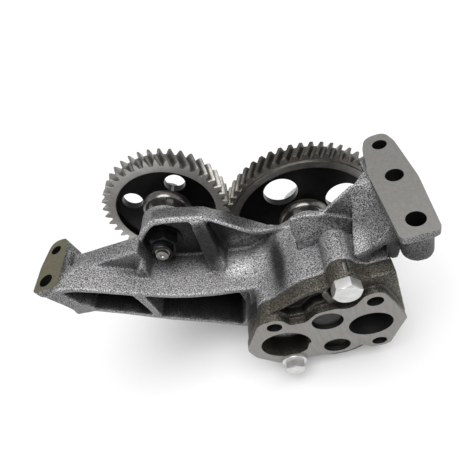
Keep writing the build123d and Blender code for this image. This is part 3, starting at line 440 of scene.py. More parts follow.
# ---- camera, light and floor ----
@dataclass
class Studio:
    """Camera, lamps, world and floor."""

    camera_mm: Point = (19.8, -124.8, 235.1)
    right: Point = (0.933, -0.045, -0.356)
    back: Point = (0.238, -0.665, 0.708)
    lens_mm: float = 29.35
    floor_z_mm: float = -66.3
    floor_reach: float = 6.0  # metres from its middle to its edges
    floor_tone: str = "e6e6e6"
    floor_bounce: str = "a0a0a0"  # the floor as the pump's underside sees it
    floor_glow: float = 0.16
    ambient: float = 0.14  # what diffuse surfaces get from the room
    shine: float = 0.6  # what metal mirrors of the room
    sun_way: Point = (0.12, -0.12, 1.0)
    sun_power: float = 3.3
    sun_spread: float = 60.0  # degrees

    def camera(self) -> None:
        """Place the camera."""
        data = bpy.data.cameras.new("camera")
        data.lens = self.lens_mm
        data.sensor_width = 36.0
        data.clip_start = 0.005
        camera = bpy.data.objects.new("camera", data)
        bpy.context.scene.collection.objects.link(camera)
        back = Vector(self.back).normalized()
        right = (Vector(self.right) - back * Vector(self.right).dot(back)).normalized()
        up = back.cross(right)
        matrix = Matrix((right, up, back)).transposed().to_4x4()
        matrix.translation = Vector(self.camera_mm) * MM
        camera.matrix_world = matrix
        bpy.context.scene.camera = camera

    def sun(self) -> None:
        """Add the wide overhead light."""
        data = bpy.data.lights.new("overhead", "SUN")
        data.energy = self.sun_power
        data.angle = math.radians(self.sun_spread)
        lamp = bpy.data.objects.new("overhead", data)
        bpy.context.scene.collection.objects.link(lamp)
        lamp.matrix_world = Vector(self.sun_way).to_track_quat("Z", "Y").to_matrix().to_4x4()

    def floor(self) -> None:
        """Add the pale floor."""
        mesh = bmesh.new()
        place = Matrix.Translation((0, 0, self.floor_z_mm * MM))
        bmesh.ops.create_grid(mesh, x_segments=1, y_segments=1, size=self.floor_reach,
                              matrix=place)
        floor = mesh_object("floor", mesh)
        material = bpy.data.materials.new("white_floor")
        material.use_nodes = True
        tree = material.node_tree
        surface = tree.nodes["Principled BSDF"]
        surface.inputs["Roughness"].default_value = 0.9
        surface.inputs["Specular IOR Level"].default_value = 0.1
        path = add_node(tree, "ShaderNodeLightPath")
        seen = add_node(tree, "ShaderNodeMath", {0: path.outputs["Is Camera Ray"],
                                                 1: path.outputs["Is Glossy Ray"]},
                        operation="MAXIMUM")
        glow = add_node(tree, "ShaderNodeMath", {0: seen.outputs[0]}, {1: self.floor_glow},
                        operation="MULTIPLY")
        tree.links.new(glow.outputs[0], surface.inputs["Emission Strength"])
        tone = add_node(tree, "ShaderNodeMix", {0: seen.outputs[0]},
                        {6: colour(self.floor_bounce), 7: colour(self.floor_tone)},
                        data_type="RGBA")
        tree.links.new(tone.outputs[2], surface.inputs["Base Color"])
        surface.inputs["Emission Color"].default_value = (1, 1, 1, 1)
        floor.data.materials.append(material)

    def world(self) -> None:
        """Add the plain world."""
        world = bpy.data.worlds.new("studio")
        world.use_nodes = True
        tree = world.node_tree
        background = tree.nodes["Background"]
        background.inputs["Color"].default_value = (1, 1, 1, 1)
        path = add_node(tree, "ShaderNodeLightPath")
        mirrored = add_node(tree, "ShaderNodeMath", {0: path.outputs["Is Glossy Ray"]},
                            {1: self.shine - self.ambient}, operation="MULTIPLY")
        seen = add_node(tree, "ShaderNodeMath", {0: path.outputs["Is Camera Ray"]},
                        {1: 1.0 - self.ambient, 2: self.ambient}, operation="MULTIPLY_ADD")
        strength = add_node(tree, "ShaderNodeMath",
                            {0: mirrored.outputs[0], 1: seen.outputs[0]}, operation="ADD")
        tree.links.new(strength.outputs[0], background.inputs["Strength"])
        bpy.context.scene.world = world

    def build(self) -> None:
        """Build the studio."""
        self.camera()
        self.world()
        self.floor()
        self.sun()
        bpy.context.scene.view_settings.view_transform = "Standard"


# ---- shapes of revolution ----
def rounded(points: Line, radius: float, steps: int = 4) -> Line:
    """Round the inner corners of an open line of (radius, y) points.

    Args:
        points: Corner points in millimetres.
        radius: Size of the rounding.
        steps: Points on each rounded corner, less one.

    Returns:
        The line with its corners rounded.
    """
    result = [points[0]]
    for before, corner, after in zip(points, points[1:], points[2:]):
        here = Vector(corner)
        to_before = Vector(before) - here
        to_after = Vector(after) - here
        reach = min(radius, to_before.length * 0.45, to_after.length * 0.45)
        start = here + to_before.normalized() * reach
        end = here + to_after.normalized() * reach
        for step in range(steps + 1):
            t = step / steps
            place = start * (1 - t) ** 2 + here * 2 * t * (1 - t) + end * t ** 2
            result.append((place.x, place.y))
    result.append(points[-1])
    return result


def ring_grid(rings: list[np.ndarray], closed: bool) -> Mesh:
    """Join rings of equal length with quads.

    Args:
        rings: Arrays of points in metres, one for each ring.
        closed: True joins the last ring to the first; False closes both ends with a fan.

    Returns:
        Closed mesh.
    """
    mesh = bmesh.new()
    rows = [[mesh.verts.new(point) for point in ring] for ring in rings]
    pairs = list(zip(rows, rows[1:]))
    if closed:
        pairs.append((rows[-1], rows[0]))
    count = len(rows[0])
    for first, second in pairs:
        for k in range(count):
            mesh.faces.new((first[k], first[(k + 1) % count], second[(k + 1) % count], second[k]))
    if not closed:
        for row in (rows[0], rows[-1]):
            middle = mesh.verts.new(sum((v.co for v in row), Vector()) / count)
            for k in range(count):
                mesh.faces.new((row[k], row[(k + 1) % count], middle))
    bmesh.ops.recalc_face_normals(mesh, faces=mesh.faces[:])
    return mesh


def lathe(points: Line, x: float, z: float) -> Mesh:
    """Turn a line about an axis along Y.

    Args:
        points: The line's (radius, y) points in millimetres.
        x: X of the axis.
        z: Z of the axis.

    Returns:
        Closed mesh.
    """
    angles = np.linspace(0, 2 * math.pi, ROUND_SIDES, endpoint=False)
    rings = [np.stack([x + r * np.cos(angles), np.full(ROUND_SIDES, y), z + r * np.sin(angles)],
                      axis=1) * MM for r, y in points]
    return ring_grid(rings, False)


def finish_object(obj: Object, body: Body, metals: list[Metals], angle: float,
                  *nodes: str) -> None:
    """Shade, dress and seat a finished piece.

    Args:
        obj: The piece.
        body: Body that it moves with.
        metals: Its finishes, in slot order.
        angle: Edges sharper than this many degrees stay sharp.
        *nodes: Model nodes that it stands for.
    """
    data = obj.data
    data.shade_smooth()
    data.set_sharp_from_angle(angle=math.radians(angle))
    data.materials.clear()
    for metal in metals:
        data.materials.append(material_of(metal))
    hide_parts(*nodes)
    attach(obj, body.value)
    LOG.info("finished %s, %d faces", obj.name, len(data.polygons))


# ---- castings ----
@dataclass(frozen=True)
class Hole:
    """Round machined hole along Y or along Z. Sizes in millimetres."""

    x: float
    other: float  # Z of its axis, or Y of an axis along Z
    radius: float
    start: float
    end: float
    along_z: bool = False

    def solid(self, extra: float = 0.0) -> Mesh:
        """Closed cylinder that fills the hole, larger by extra."""
        return rod(self.x, self.other, self.radius + extra, self.start, self.end, self.along_z)


@dataclass(frozen=True)
class Face:
    """Milled flat face: what is milled off lies between low and high."""

    axis: int  # 0, 1 or 2 for X, Y or Z
    place: float  # where it lies on that axis
    outward: int  # 1 or -1: the way it faces
    low: Point
    high: Point
    metal: int = 1  # slot of its finish


@dataclass(frozen=True)
class Zone:
    """Part of a skin that is darker or lighter: middle and reach in millimetres."""

    middle: Point
    reach: Point
    change: float  # -1 is black, 0 leaves the tone, 1 doubles it
    facing: Point | None = None  # only skin that faces this way


@dataclass
class Casting:
    """Sand casting: a rough skin with soft edges, milled and bored where the real one is."""

    node: str
    body: Body
    voxel_mm: float
    holes: list[Hole]
    faces: list[Face]
    metals: list[Metals]
    keep: float  # share of the faces kept when the skin is thinned
    smoothing: int = 5
    stock_mm: float = 3.0  # what is left on for milling
    plug_mm: float = 0.6  # how much wider than its hole a plug is
    wave_mm: float = 0.12
    waves: int = 6
    plane_mm: float = 0.03  # what lies this near a milled plane is on it
    wall_mm: float = 0.05  # what lies this near a hole's radius is its wall,
    past_mm: float = 0.1  # up to this far past its ends
    darkest: float = -0.92  # limits of what zones add up to
    lightest: float = 1.5
    sharp: float = 40.0  # degrees
    slots: list[tuple[Point, Point]] = field(default_factory=list)
    zones: list[Zone] = field(default_factory=list)

    def rough(self, source: Object) -> Object:
        """Make the unmachined casting with filled holes and stock on the milled faces.

        Args:
            source: The model's node.

        Returns:
            The rough casting.
        """
        mesh = bmesh.new()
        mesh.from_mesh(source.data)
        bmesh.ops.remove_doubles(mesh, verts=mesh.verts[:], dist=1e-6)
        for face in self.faces:
            for vert in mesh.verts:
                inside = all(low * MM <= c <= high * MM for c, low, high
                             in zip(vert.co, face.low, face.high))
                if inside and abs(vert.co[face.axis] - face.place * MM) < self.plane_mm * MM:
                    vert.co[face.axis] += face.outward * self.stock_mm * MM
        for hole in self.holes:
            plug = hole.solid(self.plug_mm)
            data = bpy.data.meshes.new("plug")
            plug.to_mesh(data)
            plug.free()
            mesh.from_mesh(data)
            bpy.data.meshes.remove(data)
        obj = mesh_object(self.node + "_casting", mesh)
        apply_modifier(obj, "REMESH", mode="VOXEL", voxel_size=self.voxel_mm * MM)
        apply_modifier(obj, "SMOOTH", factor=0.5, iterations=self.smoothing)
        return obj

    def undulate(self, obj: Object) -> None:
        """Give the skin the slight waviness of a sand mould, from waves that cross.

        Args:
            obj: The rough casting.
        """
        places, normals = places_and_normals(obj.data.vertices, "co")
        wave = np.zeros(len(places))
        for step in range(1, self.waves + 1):  # unrelated directions and lengths
            way = np.array([math.sin(step * 2.3), math.cos(step * 1.7), math.sin(step * 3.1 + 1)])
            wave += np.sin(places @ way / (2.2 + 0.7 * step) + step * 1.9)
        shift = (wave / self.waves * self.wave_mm * MM)[:, None] * normals
        obj.data.vertices.foreach_set("co", (places * MM + shift).ravel())
        obj.data.update()

    def machine(self, obj: Object) -> None:
        """Mill the flat faces, bore the holes and cut the slots.

        Args:
            obj: The rough casting.
        """
        for face in self.faces:
            low, high = list(face.low), list(face.high)
            (low if face.outward > 0 else high)[face.axis] = face.place
            cut(obj, slab(tuple(low), tuple(high)))
        for hole in self.holes:
            cut(obj, hole.solid())
        for low_corner, high_corner in self.slots:
            cut(obj, slab(low_corner, high_corner))

    def paint(self, obj: Object) -> None:
        """Give the milled faces and bores their own finish.

        Args:
            obj: The machined casting.
        """
        c, n = places_and_normals(obj.data.polygons, "center")
        slots = np.zeros(len(c), dtype=np.int32)
        for face in self.faces:
            flat = ((np.abs(c[:, face.axis] - face.place) < self.plane_mm)
                    & (n[:, face.axis] * face.outward > 0.99))
            slots[flat] = face.metal
        for hole in self.holes:
            axes = (0, 1, 2) if hole.along_z else (0, 2, 1)
            away = np.hypot(c[:, axes[0]] - hole.x, c[:, axes[1]] - hole.other)
            along = c[:, axes[2]]
            inside = (along > hole.start - self.past_mm) & (along < hole.end + self.past_mm)
            wall = np.abs(away - hole.radius) < self.wall_mm
            slots[wall & inside] = len(self.metals) - 1
        obj.data.polygons.foreach_set("material_index", slots)

    def paint_light_and_shade(self, obj: Object) -> None:
        """Store how much darker or lighter each point is than the plain skin, as painted light
        and painted shade.

        A zone is full in its inner third and fades out smoothly to its reach.

        Args:
            obj: The machined casting.
        """
        places, normals = places_and_normals(obj.data.vertices, "co")
        total = np.zeros(len(places))
        for zone in self.zones:
            away = np.linalg.norm((places - np.array(zone.middle)) / np.array(zone.reach), axis=1)
            fade = np.clip(1.5 - away * 1.5, 0, 1)
            if zone.facing:
                turned = normals @ np.array(zone.facing)
                fade *= np.clip(turned * 2.5 - 1.2, 0, 1)
            total += zone.change * fade * fade * (3 - 2 * fade)
        layer = obj.data.attributes.new("zone", "FLOAT", "POINT")
        layer.data.foreach_set("value", np.clip(total, self.darkest, self.lightest))

    def build(self, nodes: dict[str, Object]) -> None:
        """Build the casting over its node.

        Args:
            nodes: Node names to their objects.
        """
        obj = self.rough(nodes[self.node])
        self.undulate(obj)
        apply_modifier(obj, "DECIMATE", ratio=self.keep)
        self.machine(obj)
        finish_object(obj, self.body, self.metals, self.sharp, self.node)
        self.paint(obj)
        self.paint_light_and_shade(obj)


# Parts of the two housings' skins painted darker or lighter, mostly painted shade and painted
# light; first painted shade on the floors of the pockets along the arm.
HOUSING_ZONES = [Zone((x, 44, z), (14, 30, 13), -0.9, UPWARD) for x, z in
                 ((-155, 38), (-143, 30), (-130, 20), (-117, 9),
                  (-104, 0), (-92, -8), (-80, -17), (-68, -25))]
HOUSING_ZONES += [
    # Painted light on the shelf, and on the saddle by the hood where the hood's shadow falls.
    Zone((-138, 36, 58), (38, 16, 14), 0.2),  # shelf
    Zone((-95, 36, 34), (34, 22, 12), 0.1),
    Zone((-49, 54, 25), (24, 22, 15), 1.5),
    # The rail's top and the hood's top darker.
    Zone((-138, 58, 62), (40, 12, 10), -0.35),  # rail
    Zone((-80, 70, 74), (44, 16, 16), -0.75, UPWARD),  # hood's top
    Zone((-42, 70, 48), (26, 16, 20), -0.75, UPWARD),
    # Painted shade in the valley, on the slanted web and on the wall behind the nut; the body's
    # left side darker.
    Zone((-22, 42, 21), (9, 44, 15), -0.9),  # valley
    Zone((-48, 18, -10), (16, 24, 36), -0.9),  # body's left side
    Zone((-66, 55, 42), (14, 26, 36), -0.95),  # slanted web
    Zone((-80, 66, 45), (70, 4, 34), -0.85, FORWARD),  # behind the nut
    # Painted highlight along the rim's front edge and the arm's front edges.
    Zone((-70, 61, 60), (70, 2.4, 34), 1.5, FORWARD),  # rim's front edge
    Zone((-110, 28, 35), (95, 1.8, 60), 0.3, FORWARD),  # arm's edges
]
# Painted light on the tower's edge, the support and the column; painted shade on the tower's dark
# side, in the support's hollow and on the boss.
REAR_ZONES = [
    Zone((2, 40, 50), (14, 4, 18), 0.5, FORWARD),  # tower's edge
    Zone((25.3, 42, 53.8), (13, 5, 15), -0.6, FORWARD),  # its dark side
    Zone((33, 25, 44), (10, 12, 8), 0.7),  # support
    Zone((17.6, 25, 44), (8, 24, 7), 0.8),  # column
    Zone((46, 18, 37), (20, 12, 14), -0.9, FORWARD),  # support's hollow
    Zone((61, 10, 46), (18, 22, 24), -0.7),  # boss
]


@dataclass
class Castings:
    """The cover, the gear housing with its arm, and the rear housing."""

    bolt_hole: float = 5.25
    shaft_hole: float = 10.5
    shaft_bush: float = 12.04
    driven_hole: float = 9.65
    driven_bush: float = 11.14
    gear_pocket: float = 21.26
    joint_y: float = 15.4  # between the cover and the gear housing
    back_y: float = 40.0  # between the two housings
    seam_mm: float = 0.25  # each side of the joint stays this far back, so it shows
    bolts: tuple[tuple[float, float], ...] = ((-34.4, 7.1), (32.1, 12.1), (29.5, -43.6))
    wide: tuple[float, float] = (-90.0, 80.0)  # more than the body's X and Z

    def cover(self) -> Casting:
        """Describe the port cover.

        Returns:
            The casting.
        """
        low, high = self.wide
        start, step, end = -6, 3.6, self.joint_y + 5
        holes = [Hole(x, z, self.bolt_hole, start, end)
                 for x, z in (*self.bolts, COLUMN_BOLT, LOWER_BOLT)]
        holes += [Hole(26.4, -16, 14.7, start, end),  # port
                  Hole(0, 0, self.shaft_hole, start, step),
                  Hole(0, 0, self.shaft_bush, step, end),
                  Hole(0, -PUMP_CENTRES, self.driven_hole, start, step),
                  Hole(0, -PUMP_CENTRES, self.driven_bush, step, end)]
        faces = [Face(1, 0.0, -1, (low, -8, low), (high, 1, high)),
                 Face(1, self.joint_y - self.seam_mm, 1, (low, 14, low), (high, 25, high))]
        # Painted shade on the left side round the inlet, painted light along the right edge.
        zones = [Zone((-33.9, 12, -20.8), (20, 16, 20), -0.95),  # left side
                 Zone((-33.9, 10, -33), (24, 16, 16), -0.95),
                 Zone((48, 8, 4), (12, 12, 30), 0.8)]  # right edge
        return Casting("port_cover", Body.HOUSING, 0.6, holes, faces,
                       [Metals.COVER_CAST, Metals.PORT, Metals.BORED], keep=0.6, zones=zones,
                       slots=[((19.2, 6.8, 38.0), (21.9, 17.0, 46.0))])

    def gear_housing(self) -> Casting:
        """Describe the gear housing with the long arm.

        Returns:
            The casting.
        """
        low, high = self.wide
        start, end = self.joint_y - 6, self.back_y + 1
        holes = [Hole(x, z, self.bolt_hole, start, end) for x, z in (*self.bolts, COLUMN_BOLT)]
        holes += [Hole(*LOWER_BOLT, SHANK, start, 36),
                  Hole(0, 0, self.gear_pocket, start, self.back_y + 4),
                  Hole(0, -PUMP_CENTRES, self.gear_pocket, start, self.back_y + 4),
                  Hole(*IDLER, 6.4, 60, 74), Hole(*IDLER, 8.5, 73.5, 88),
                  Hole(-178, 38.6, 5.1, 61.35, 80, True),  # foot
                  Hole(-178, 66.4, 4, 61.35, 80, True)]
        faces = [Face(1, self.joint_y + self.seam_mm, -1, (low, 8, low), (high, 16.4, high)),
                 Face(2, 72.35, 1, (-200, 20, 71.5), (-155, 90, 86), 2),
                 Face(1, 82.0, 1, (-120, 81, 30), (-75, 90, 76))]
        return Casting("gear_housing", Body.HOUSING, 0.95, holes, faces,
                       [Metals.SAND_CAST, Metals.MACHINED, Metals.PAD, Metals.BORED],
                       keep=0.45, zones=HOUSING_ZONES)

    def rear_housing(self) -> Casting:
        """Describe the rear housing with the three-hole flange.

        Returns:
            The casting.
        """
        holes = [Hole(61, y, radius, 40.9, 72, True)  # flange
                 for y, radius in ((10.6, 5.15), (45.9, 5.15), (75.7, 4.4))]
        holes += [Hole(0, 0, self.shaft_bush, 35, 63.3),
                  Hole(0, 0, self.shaft_hole, 63.3, 90),
                  Hole(0, -PUMP_CENTRES, self.driven_bush, 35, 51.8),
                  Hole(*COLUMN_BOLT, SHANK, 35, 55)]
        faces = [Face(2, 66.9, 1, (30, -5, 66.2), (80, 95, 75)),
                 Face(1, 86.5, 1, (-20, 86, -20), (20, 92, 20))]
        return Casting("rear_housing", Body.HOUSING, 0.8, holes, faces,
                       [Metals.SAND_CAST, Metals.MACHINED, Metals.BORED], keep=0.6,
                       zones=REAR_ZONES)

    def build(self, nodes: dict[str, Object]) -> None:
        """Build the three castings.

        Args:
            nodes: Node names to their objects.
        """
        for casting in (self.cover(), self.gear_housing(), self.rear_housing()):
            casting.build(nodes)


# ---- helical gears ----
@dataclass
class HolePunch:
    """Ring of round punches for the lightening holes, made with Geometry Nodes."""

    circle: float
    radius: float
    angle: float  # degrees to the first punch
    count: int = 4

    def tree(self) -> Tree:
        """Make the node tree: punches set round a circle about Z.

        Returns:
            The tree, with named inputs for its sizes.
        """
        tree = bpy.data.node_groups.new("hole_punch", "GeometryNodeTree")
        face = tree.interface
        face.new_socket("Geometry", in_out="INPUT", socket_type="NodeSocketGeometry")
        face.new_socket("Geometry", in_out="OUTPUT", socket_type="NodeSocketGeometry")
        face.new_socket("Count", in_out="INPUT", socket_type="NodeSocketInt")
        for name in ("Circle", "Radius", "Depth"):
            face.new_socket(name, in_out="INPUT", socket_type="NodeSocketFloat")
        start = add_node(tree, "NodeGroupInput").outputs
        ring = add_node(tree, "GeometryNodeMeshCircle",
                        {"Vertices": start["Count"], "Radius": start["Circle"]})
        punch = add_node(tree, "GeometryNodeMeshCylinder",
                         {"Radius": start["Radius"], "Depth": start["Depth"]},
                         {"Vertices": ROUND_SIDES})
        placed = add_node(tree, "GeometryNodeInstanceOnPoints",
                          {"Points": ring.outputs[0], "Instance": punch.outputs[0]})
        real = add_node(tree, "GeometryNodeRealizeInstances", {0: placed.outputs[0]})
        dressed = add_node(tree, "GeometryNodeSetMaterial", {"Geometry": real.outputs[0]},
                           {"Material": material_of(Metals.FORGED)})
        add_node(tree, "NodeGroupOutput", {0: dressed.outputs[0]})
        return tree

    def build(self, middle: Point, depth: float) -> Mesh:
        """Place the punches about an axis along Y.

        Args:
            middle: Middle of the ring in millimetres.
            depth: Length of each punch.

        Returns:
            Closed mesh of every punch.
        """
        obj = mesh_object("hole_punch", bmesh.new())
        modifier = obj.modifiers.new("holes", "NODES")
        modifier.node_group = self.tree()
        sizes = {"Count": self.count, "Circle": self.circle * MM, "Radius": self.radius * MM,
                 "Depth": depth * MM}
        for item in modifier.node_group.interface.items_tree:
            if item.item_type == "SOCKET" and item.in_out == "INPUT" and item.name in sizes:
                modifier[item.identifier] = sizes[item.name]
        graph = bpy.context.evaluated_depsgraph_get()
        data = bpy.data.meshes.new_from_object(obj.evaluated_get(graph))
        result = bmesh.new()
        result.from_mesh(data)
        bpy.data.objects.remove(obj)
        bpy.data.meshes.remove(data)
        turn = ALONG_Y @ Matrix.Rotation(math.radians(self.angle), 4, "Z")
        bmesh.ops.transform(result, matrix=Matrix.Translation(Vector(middle) * MM) @ turn,
                            verts=result.verts[:])
        return result


@dataclass
class HelicalGear:
    """Helical gear with a dished web, four holes and a flared hub. Sizes in millimetres."""

    node: str
    body: Body
    x: float
    z: float
    teeth: int
    phase: float  # degrees to the first tooth
    hand: int  # 1 or -1: the way the teeth wind
    module: float
    addendum: float
    bore: float
    hub: float
    hub_front: float
    rim_inner: float
    hole_circle: float
    hole_radius: float
    hole_angle: float
    lip: float = 0.0  # height of the lip on the front face
    lip_outer: float = 0.0
    dedendum: float = 2.6
    pressure: float = 20.0  # degrees
    helix: float = 24.0  # degrees
    backlash: float = 0.6
    root_fillet: float = 0.35
    tip_rounding: float = 0.18
    front: float = 93.4
    width: float = 14.3
    land: float = 0.4  # what the faces leave below the tooth roots
    web_front: float = 97.0
    web: float = 6.0
    flare: float = 5.5
    corner: float = 1.2  # rounding of the turned corners
    edge: float = 0.3  # chamfer at the ends of the teeth
    steps: int = 6  # rings along the teeth
    sharp: float = 32.0  # degrees
    tooth_metal: Metals = Metals.GEAR
    face_metal: Metals = Metals.FACED

    def profile(self, inset: float) -> tuple[np.ndarray, np.ndarray]:
        """Radius and angle of every point round the teeth.

        Args:
            inset: How far the outline is drawn in, for chamfered ends.

        Returns:
            Radii and angles.
        """
        pitch = self.module * self.teeth / 2
        pressure = math.radians(self.pressure)
        base = pitch * math.cos(pressure)
        tip, root = pitch + self.addendum - inset, pitch - self.dedendum
        half = math.pi / (2 * self.teeth) - self.backlash / (4 * pitch)
        half += math.tan(pressure) - pressure
        side = []
        for level in (0.0, 0.12, 0.35, 0.6, 0.85, 1.0):
            radius = root + (tip - root) * level
            slope = math.acos(min(1.0, base / radius))
            angle = half - (math.tan(slope) - slope) - inset / pitch
            if level == 0.0:
                angle += self.root_fillet / pitch
            if level == 1.0:
                angle -= self.tip_rounding / pitch
            side.append((radius, angle))
        tooth = np.array([(r, -a) for r, a in side] + side[::-1])
        centres = 2 * math.pi * np.arange(self.teeth) / self.teeth
        return np.tile(tooth[:, 0], self.teeth), (centres[:, None] + tooth[:, 1]).ravel()

    def ring(self, radii: np.ndarray | float, angles: np.ndarray, y: float) -> np.ndarray:
        """Turn one ring by the helix at its y.

        Args:
            radii: Its radii.
            angles: Its angles.
            y: Its place along the axis.

        Returns:
            Its points in metres.
        """
        middle = self.front + self.width / 2
        reach = max(-self.width / 2, min(self.width / 2, middle - y))
        pitch = self.module * self.teeth / 2
        twist = self.hand * reach * math.tan(math.radians(self.helix)) / pitch
        turned = angles + math.radians(self.phase) + twist
        radius = np.broadcast_to(radii, angles.shape)
        return np.stack([self.x + radius * np.cos(turned), np.full(angles.shape, y),
                         self.z + radius * np.sin(turned)], axis=1) * MM

    def build(self) -> None:
        """Build the gear over its node."""
        full, angles = self.profile(0.0)
        drawn, drawn_angles = self.profile(self.edge)
        pitch = self.module * self.teeth / 2
        root = pitch - self.dedendum
        back = self.front + self.width
        web_back = self.web_front + self.web
        front_line = [(self.bore, self.hub_front), (self.hub, self.hub_front),
                      *[(self.hub + self.flare * (1 - math.cos(a)),
                         self.web_front - self.flare * (1 - math.sin(a)))
                        for a in np.linspace(0, math.pi / 2, 7)],
                      (self.rim_inner, self.web_front), (self.rim_inner, self.front - self.lip)]
        if self.lip:
            front_line += [(self.lip_outer, self.front - self.lip), (self.lip_outer, self.front)]
        front_line.append((root - self.land, self.front))
        back_line = [(root - self.land, back), (self.rim_inner, back), (self.rim_inner, web_back),
                     (self.hub + self.flare, web_back), (self.hub, web_back + 2),
                     (self.hub, back + 1.0), (self.bore, back + 1.0)]
        rings = [self.ring(r, angles, y) for r, y in rounded(front_line, self.corner)]
        rings.append(self.ring(drawn, drawn_angles, self.front))
        for step in range(self.steps + 1):
            y = self.front + self.edge + (self.width - 2 * self.edge) * step / self.steps
            rings.append(self.ring(full, angles, y))
        rings.append(self.ring(drawn, drawn_angles, back))
        rings += [self.ring(r, angles, y) for r, y in rounded(back_line, self.corner)]
        gear = mesh_object(self.node + "_cut", ring_grid(rings, True))
        punch = HolePunch(self.hole_circle, self.hole_radius, self.hole_angle)
        middle = (self.x, (self.web_front + web_back) / 2, self.z)
        cut(gear, punch.build(middle, self.web + 4))
        metals = [self.tooth_metal, Metals.FORGED, Metals.HUB, self.face_metal]
        finish_object(gear, self.body, metals, self.sharp, self.node)
        self.paint(gear)

    def paint(self, gear: Object) -> None:
        """Leave the recess black from forging and the hub bright from turning.

        Args:
            gear: The finished gear.
        """
        c, normals = places_and_normals(gear.data.polygons, "center")
        flat = normals[:, 1] < -0.9
        away = np.hypot(c[:, 0] - self.x, c[:, 2] - self.z)
        # Margins in millimetres; slot 1 is the recess, 2 the hub and 3 the front face.
        deep = (c[:, 1] > self.front + 0.4) & (c[:, 1] < self.front + self.width - 0.4)
        slots = np.zeros(len(c), dtype=np.int32)
        slots[flat & (c[:, 1] < self.front + 0.2)] = 3
        slots[(away < self.rim_inner + 0.3) & deep] = 1
        slots[away < self.hub + self.flare * 0.8] = 2
        gear.data.polygons.foreach_set("material_index", slots)


@dataclass
class GearTrain:
    """The large gear on the drive shaft and the idler."""

    shaft_radius: float = 9.9
    large_teeth: int = 54
    small_teeth: int = 39
    turn: float = -1.5  # degrees from a tooth space on the line of centres

    def build(self) -> None:
        """Build both gears."""
        module = 2 * math.hypot(*IDLER) / (self.large_teeth + self.small_teeth)
        mesh_angle = math.degrees(math.atan2(IDLER[1], IDLER[0]))
        large_phase = mesh_angle + 180 / self.large_teeth + self.turn
        small_phase = mesh_angle + 180 - self.turn * self.large_teeth / self.small_teeth
        HelicalGear("input_gear", Body.DRIVE, 0.0, 0.0, self.large_teeth, large_phase, 1, module,
                    addendum=1.4, bore=self.shaft_radius, hub=16.0, hub_front=87.1,
                    rim_inner=54.3, hole_circle=35.2, hole_radius=13.3, hole_angle=17.3,
                    lip=1.6, lip_outer=60.4, tooth_metal=Metals.OILED,
                    face_metal=Metals.WORN).build()
        HelicalGear("idler_gear", Body.IDLER, *IDLER, self.small_teeth, small_phase, -1, module,
                    addendum=2.4, bore=11.44, hub=14.6, hub_front=84.15, rim_inner=38.1,
                    hole_circle=26.7, hole_radius=7.8, hole_angle=50.0).build()


# ---- fasteners ----
@dataclass
class HexPiece:
    """Hexagon head or nut along Y, with chamfered corners. Sizes in millimetres."""

    node: str
    metal: Metals
    x: float
    z: float
    flats: float  # width across flats
    front: float
    back: float
    turn: float = 0.0  # degrees
    edge: float = 0.25  # rounding of its edges
    front_chamfer: float = 1.0
    back_chamfer: float = 0.2
    extra: Line = field(default_factory=list)  # turned part: (radius, y) points
    body: Body = Body.HOUSING
    bore: float = 0.0
    sharp: float = 30.0  # degrees

    def build(self) -> None:
        """Build the piece over its node."""
        mesh = bmesh.new()
        corner = self.flats / 2 / math.cos(math.pi / 6)
        middle = Vector((self.x, (self.front + self.back) / 2, self.z)) * MM
        turn = Matrix.Rotation(math.radians(self.turn), 4, "Y")
        bmesh.ops.create_cone(mesh, cap_ends=True, segments=6, radius1=corner * MM,
                              radius2=corner * MM, depth=(self.back - self.front) * MM,
                              matrix=Matrix.Translation(middle) @ turn @ ALONG_Y)
        bmesh.ops.bevel(mesh, geom=mesh.edges[:], offset=self.edge * MM, segments=2,
                        profile=0.5, affect="EDGES")
        piece = mesh_object(self.node + "_hex", mesh)
        # A turned outline that reaches past the hexagon and takes its corners off.
        inner, outer, axis = self.flats / 2 - 0.3, corner + 0.3, 0.001
        bound = [(axis, self.front - 0.01), (inner, self.front - 0.01),
                 (outer, self.front + self.front_chamfer * 1.4),
                 (outer, self.back - self.back_chamfer), (inner, self.back + 0.01),
                 (axis, self.back + 0.01)]
        cut(piece, lathe(bound, self.x, self.z), "INTERSECT")
        if self.extra:
            cut(piece, lathe(rounded(self.extra, 0.5), self.x, self.z), "UNION")
        if self.bore:
            cut(piece, rod(self.x, self.z, self.bore, self.front - 20, self.back + 20))
        finish_object(piece, self.body, [self.metal], self.sharp, self.node)


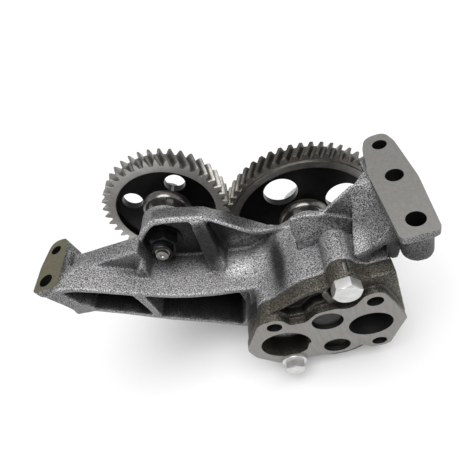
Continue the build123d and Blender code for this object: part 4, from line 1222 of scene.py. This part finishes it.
@dataclass
class Fasteners:
    """Every hexagon head and nut."""

    def build(self) -> None:
        """Build them all."""
        HexPiece("column_bolt", Metals.ZINC, *COLUMN_BOLT, 16.0, -4.6, 2.6, turn=23.2,
                 extra=[(0.001, 2.0), (SHANK, 2.0), (SHANK, 53.8), (4.1, 54.5),
                        (0.001, 54.5)]).build()
        HexPiece("flange_bolt", Metals.ZINC, *LOWER_BOLT, 13.6, -9.2, -2.4, turn=10.0,
                 extra=[(0.001, -3.0), (6.4, -3.0), (9.3, -2.4), (9.6, -1.6), (SHANK, -1.6),
                        (SHANK, 34.7), (4.1, 35.5), (0.001, 35.5)]).build()
        HexPiece("idler_nut", Metals.BLACK, *IDLER, 19.0, 55.6, 63.6, turn=30.0, bore=6.0,
                 front_chamfer=1.4,
                 extra=[(0.001, 50.0), (6.6, 50.0), (7.6, 51.0), (7.6, 56.5),
                        (0.001, 56.5)]).build()
        HexPiece("shaft_nut", Metals.ZINC, 0.0, 0.0, 24.0, 111.1, 120.1, bore=7.9,
                 back_chamfer=1.2, body=Body.DRIVE).build()


# ---- the pump ----
@dataclass
class PlainPieces:
    """Turned and ground pieces whose shape comes straight from the model."""

    finishes: dict[Metals, tuple[str, ...]] = field(default_factory=lambda: {
        Metals.SHAFT_END: ("drive_shaft", "driven_shaft"),
        Metals.GEAR: ("pump_drive_gear", "pump_driven_gear", "gear_key"),
        Metals.BRONZE: ("front_drive_bush", "front_driven_bush", "rear_drive_bush",
                        "rear_driven_bush", "idler_bush"),
        Metals.GROUND: ("idler_axle", "idler_thrust_washer", "cover_dowels", "rear_dowels"),
        Metals.BLACK: ("idler_washer",),
        Metals.ZINC: ("flange_bolt_washer", "shaft_washer"),
    })

    def dress(self, nodes: dict[str, Object]) -> None:
        """Give every node its finish.

        Args:
            nodes: Node names to their objects.
        """
        for metal, names in self.finishes.items():
            for name in names:
                data = nodes[name].data
                data.materials.clear()
                data.materials.append(material_of(metal))
                LOG.info("dressed %s", name)


def main() -> None:
    """Build the scene."""
    logging.basicConfig(level=logging.INFO)
    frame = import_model()
    Studio().build()
    PlainPieces().dress(frame["nodes"])
    Castings().build(frame["nodes"])
    GearTrain().build()
    Fasteners().build()


if __name__ == "__main__":
    main()
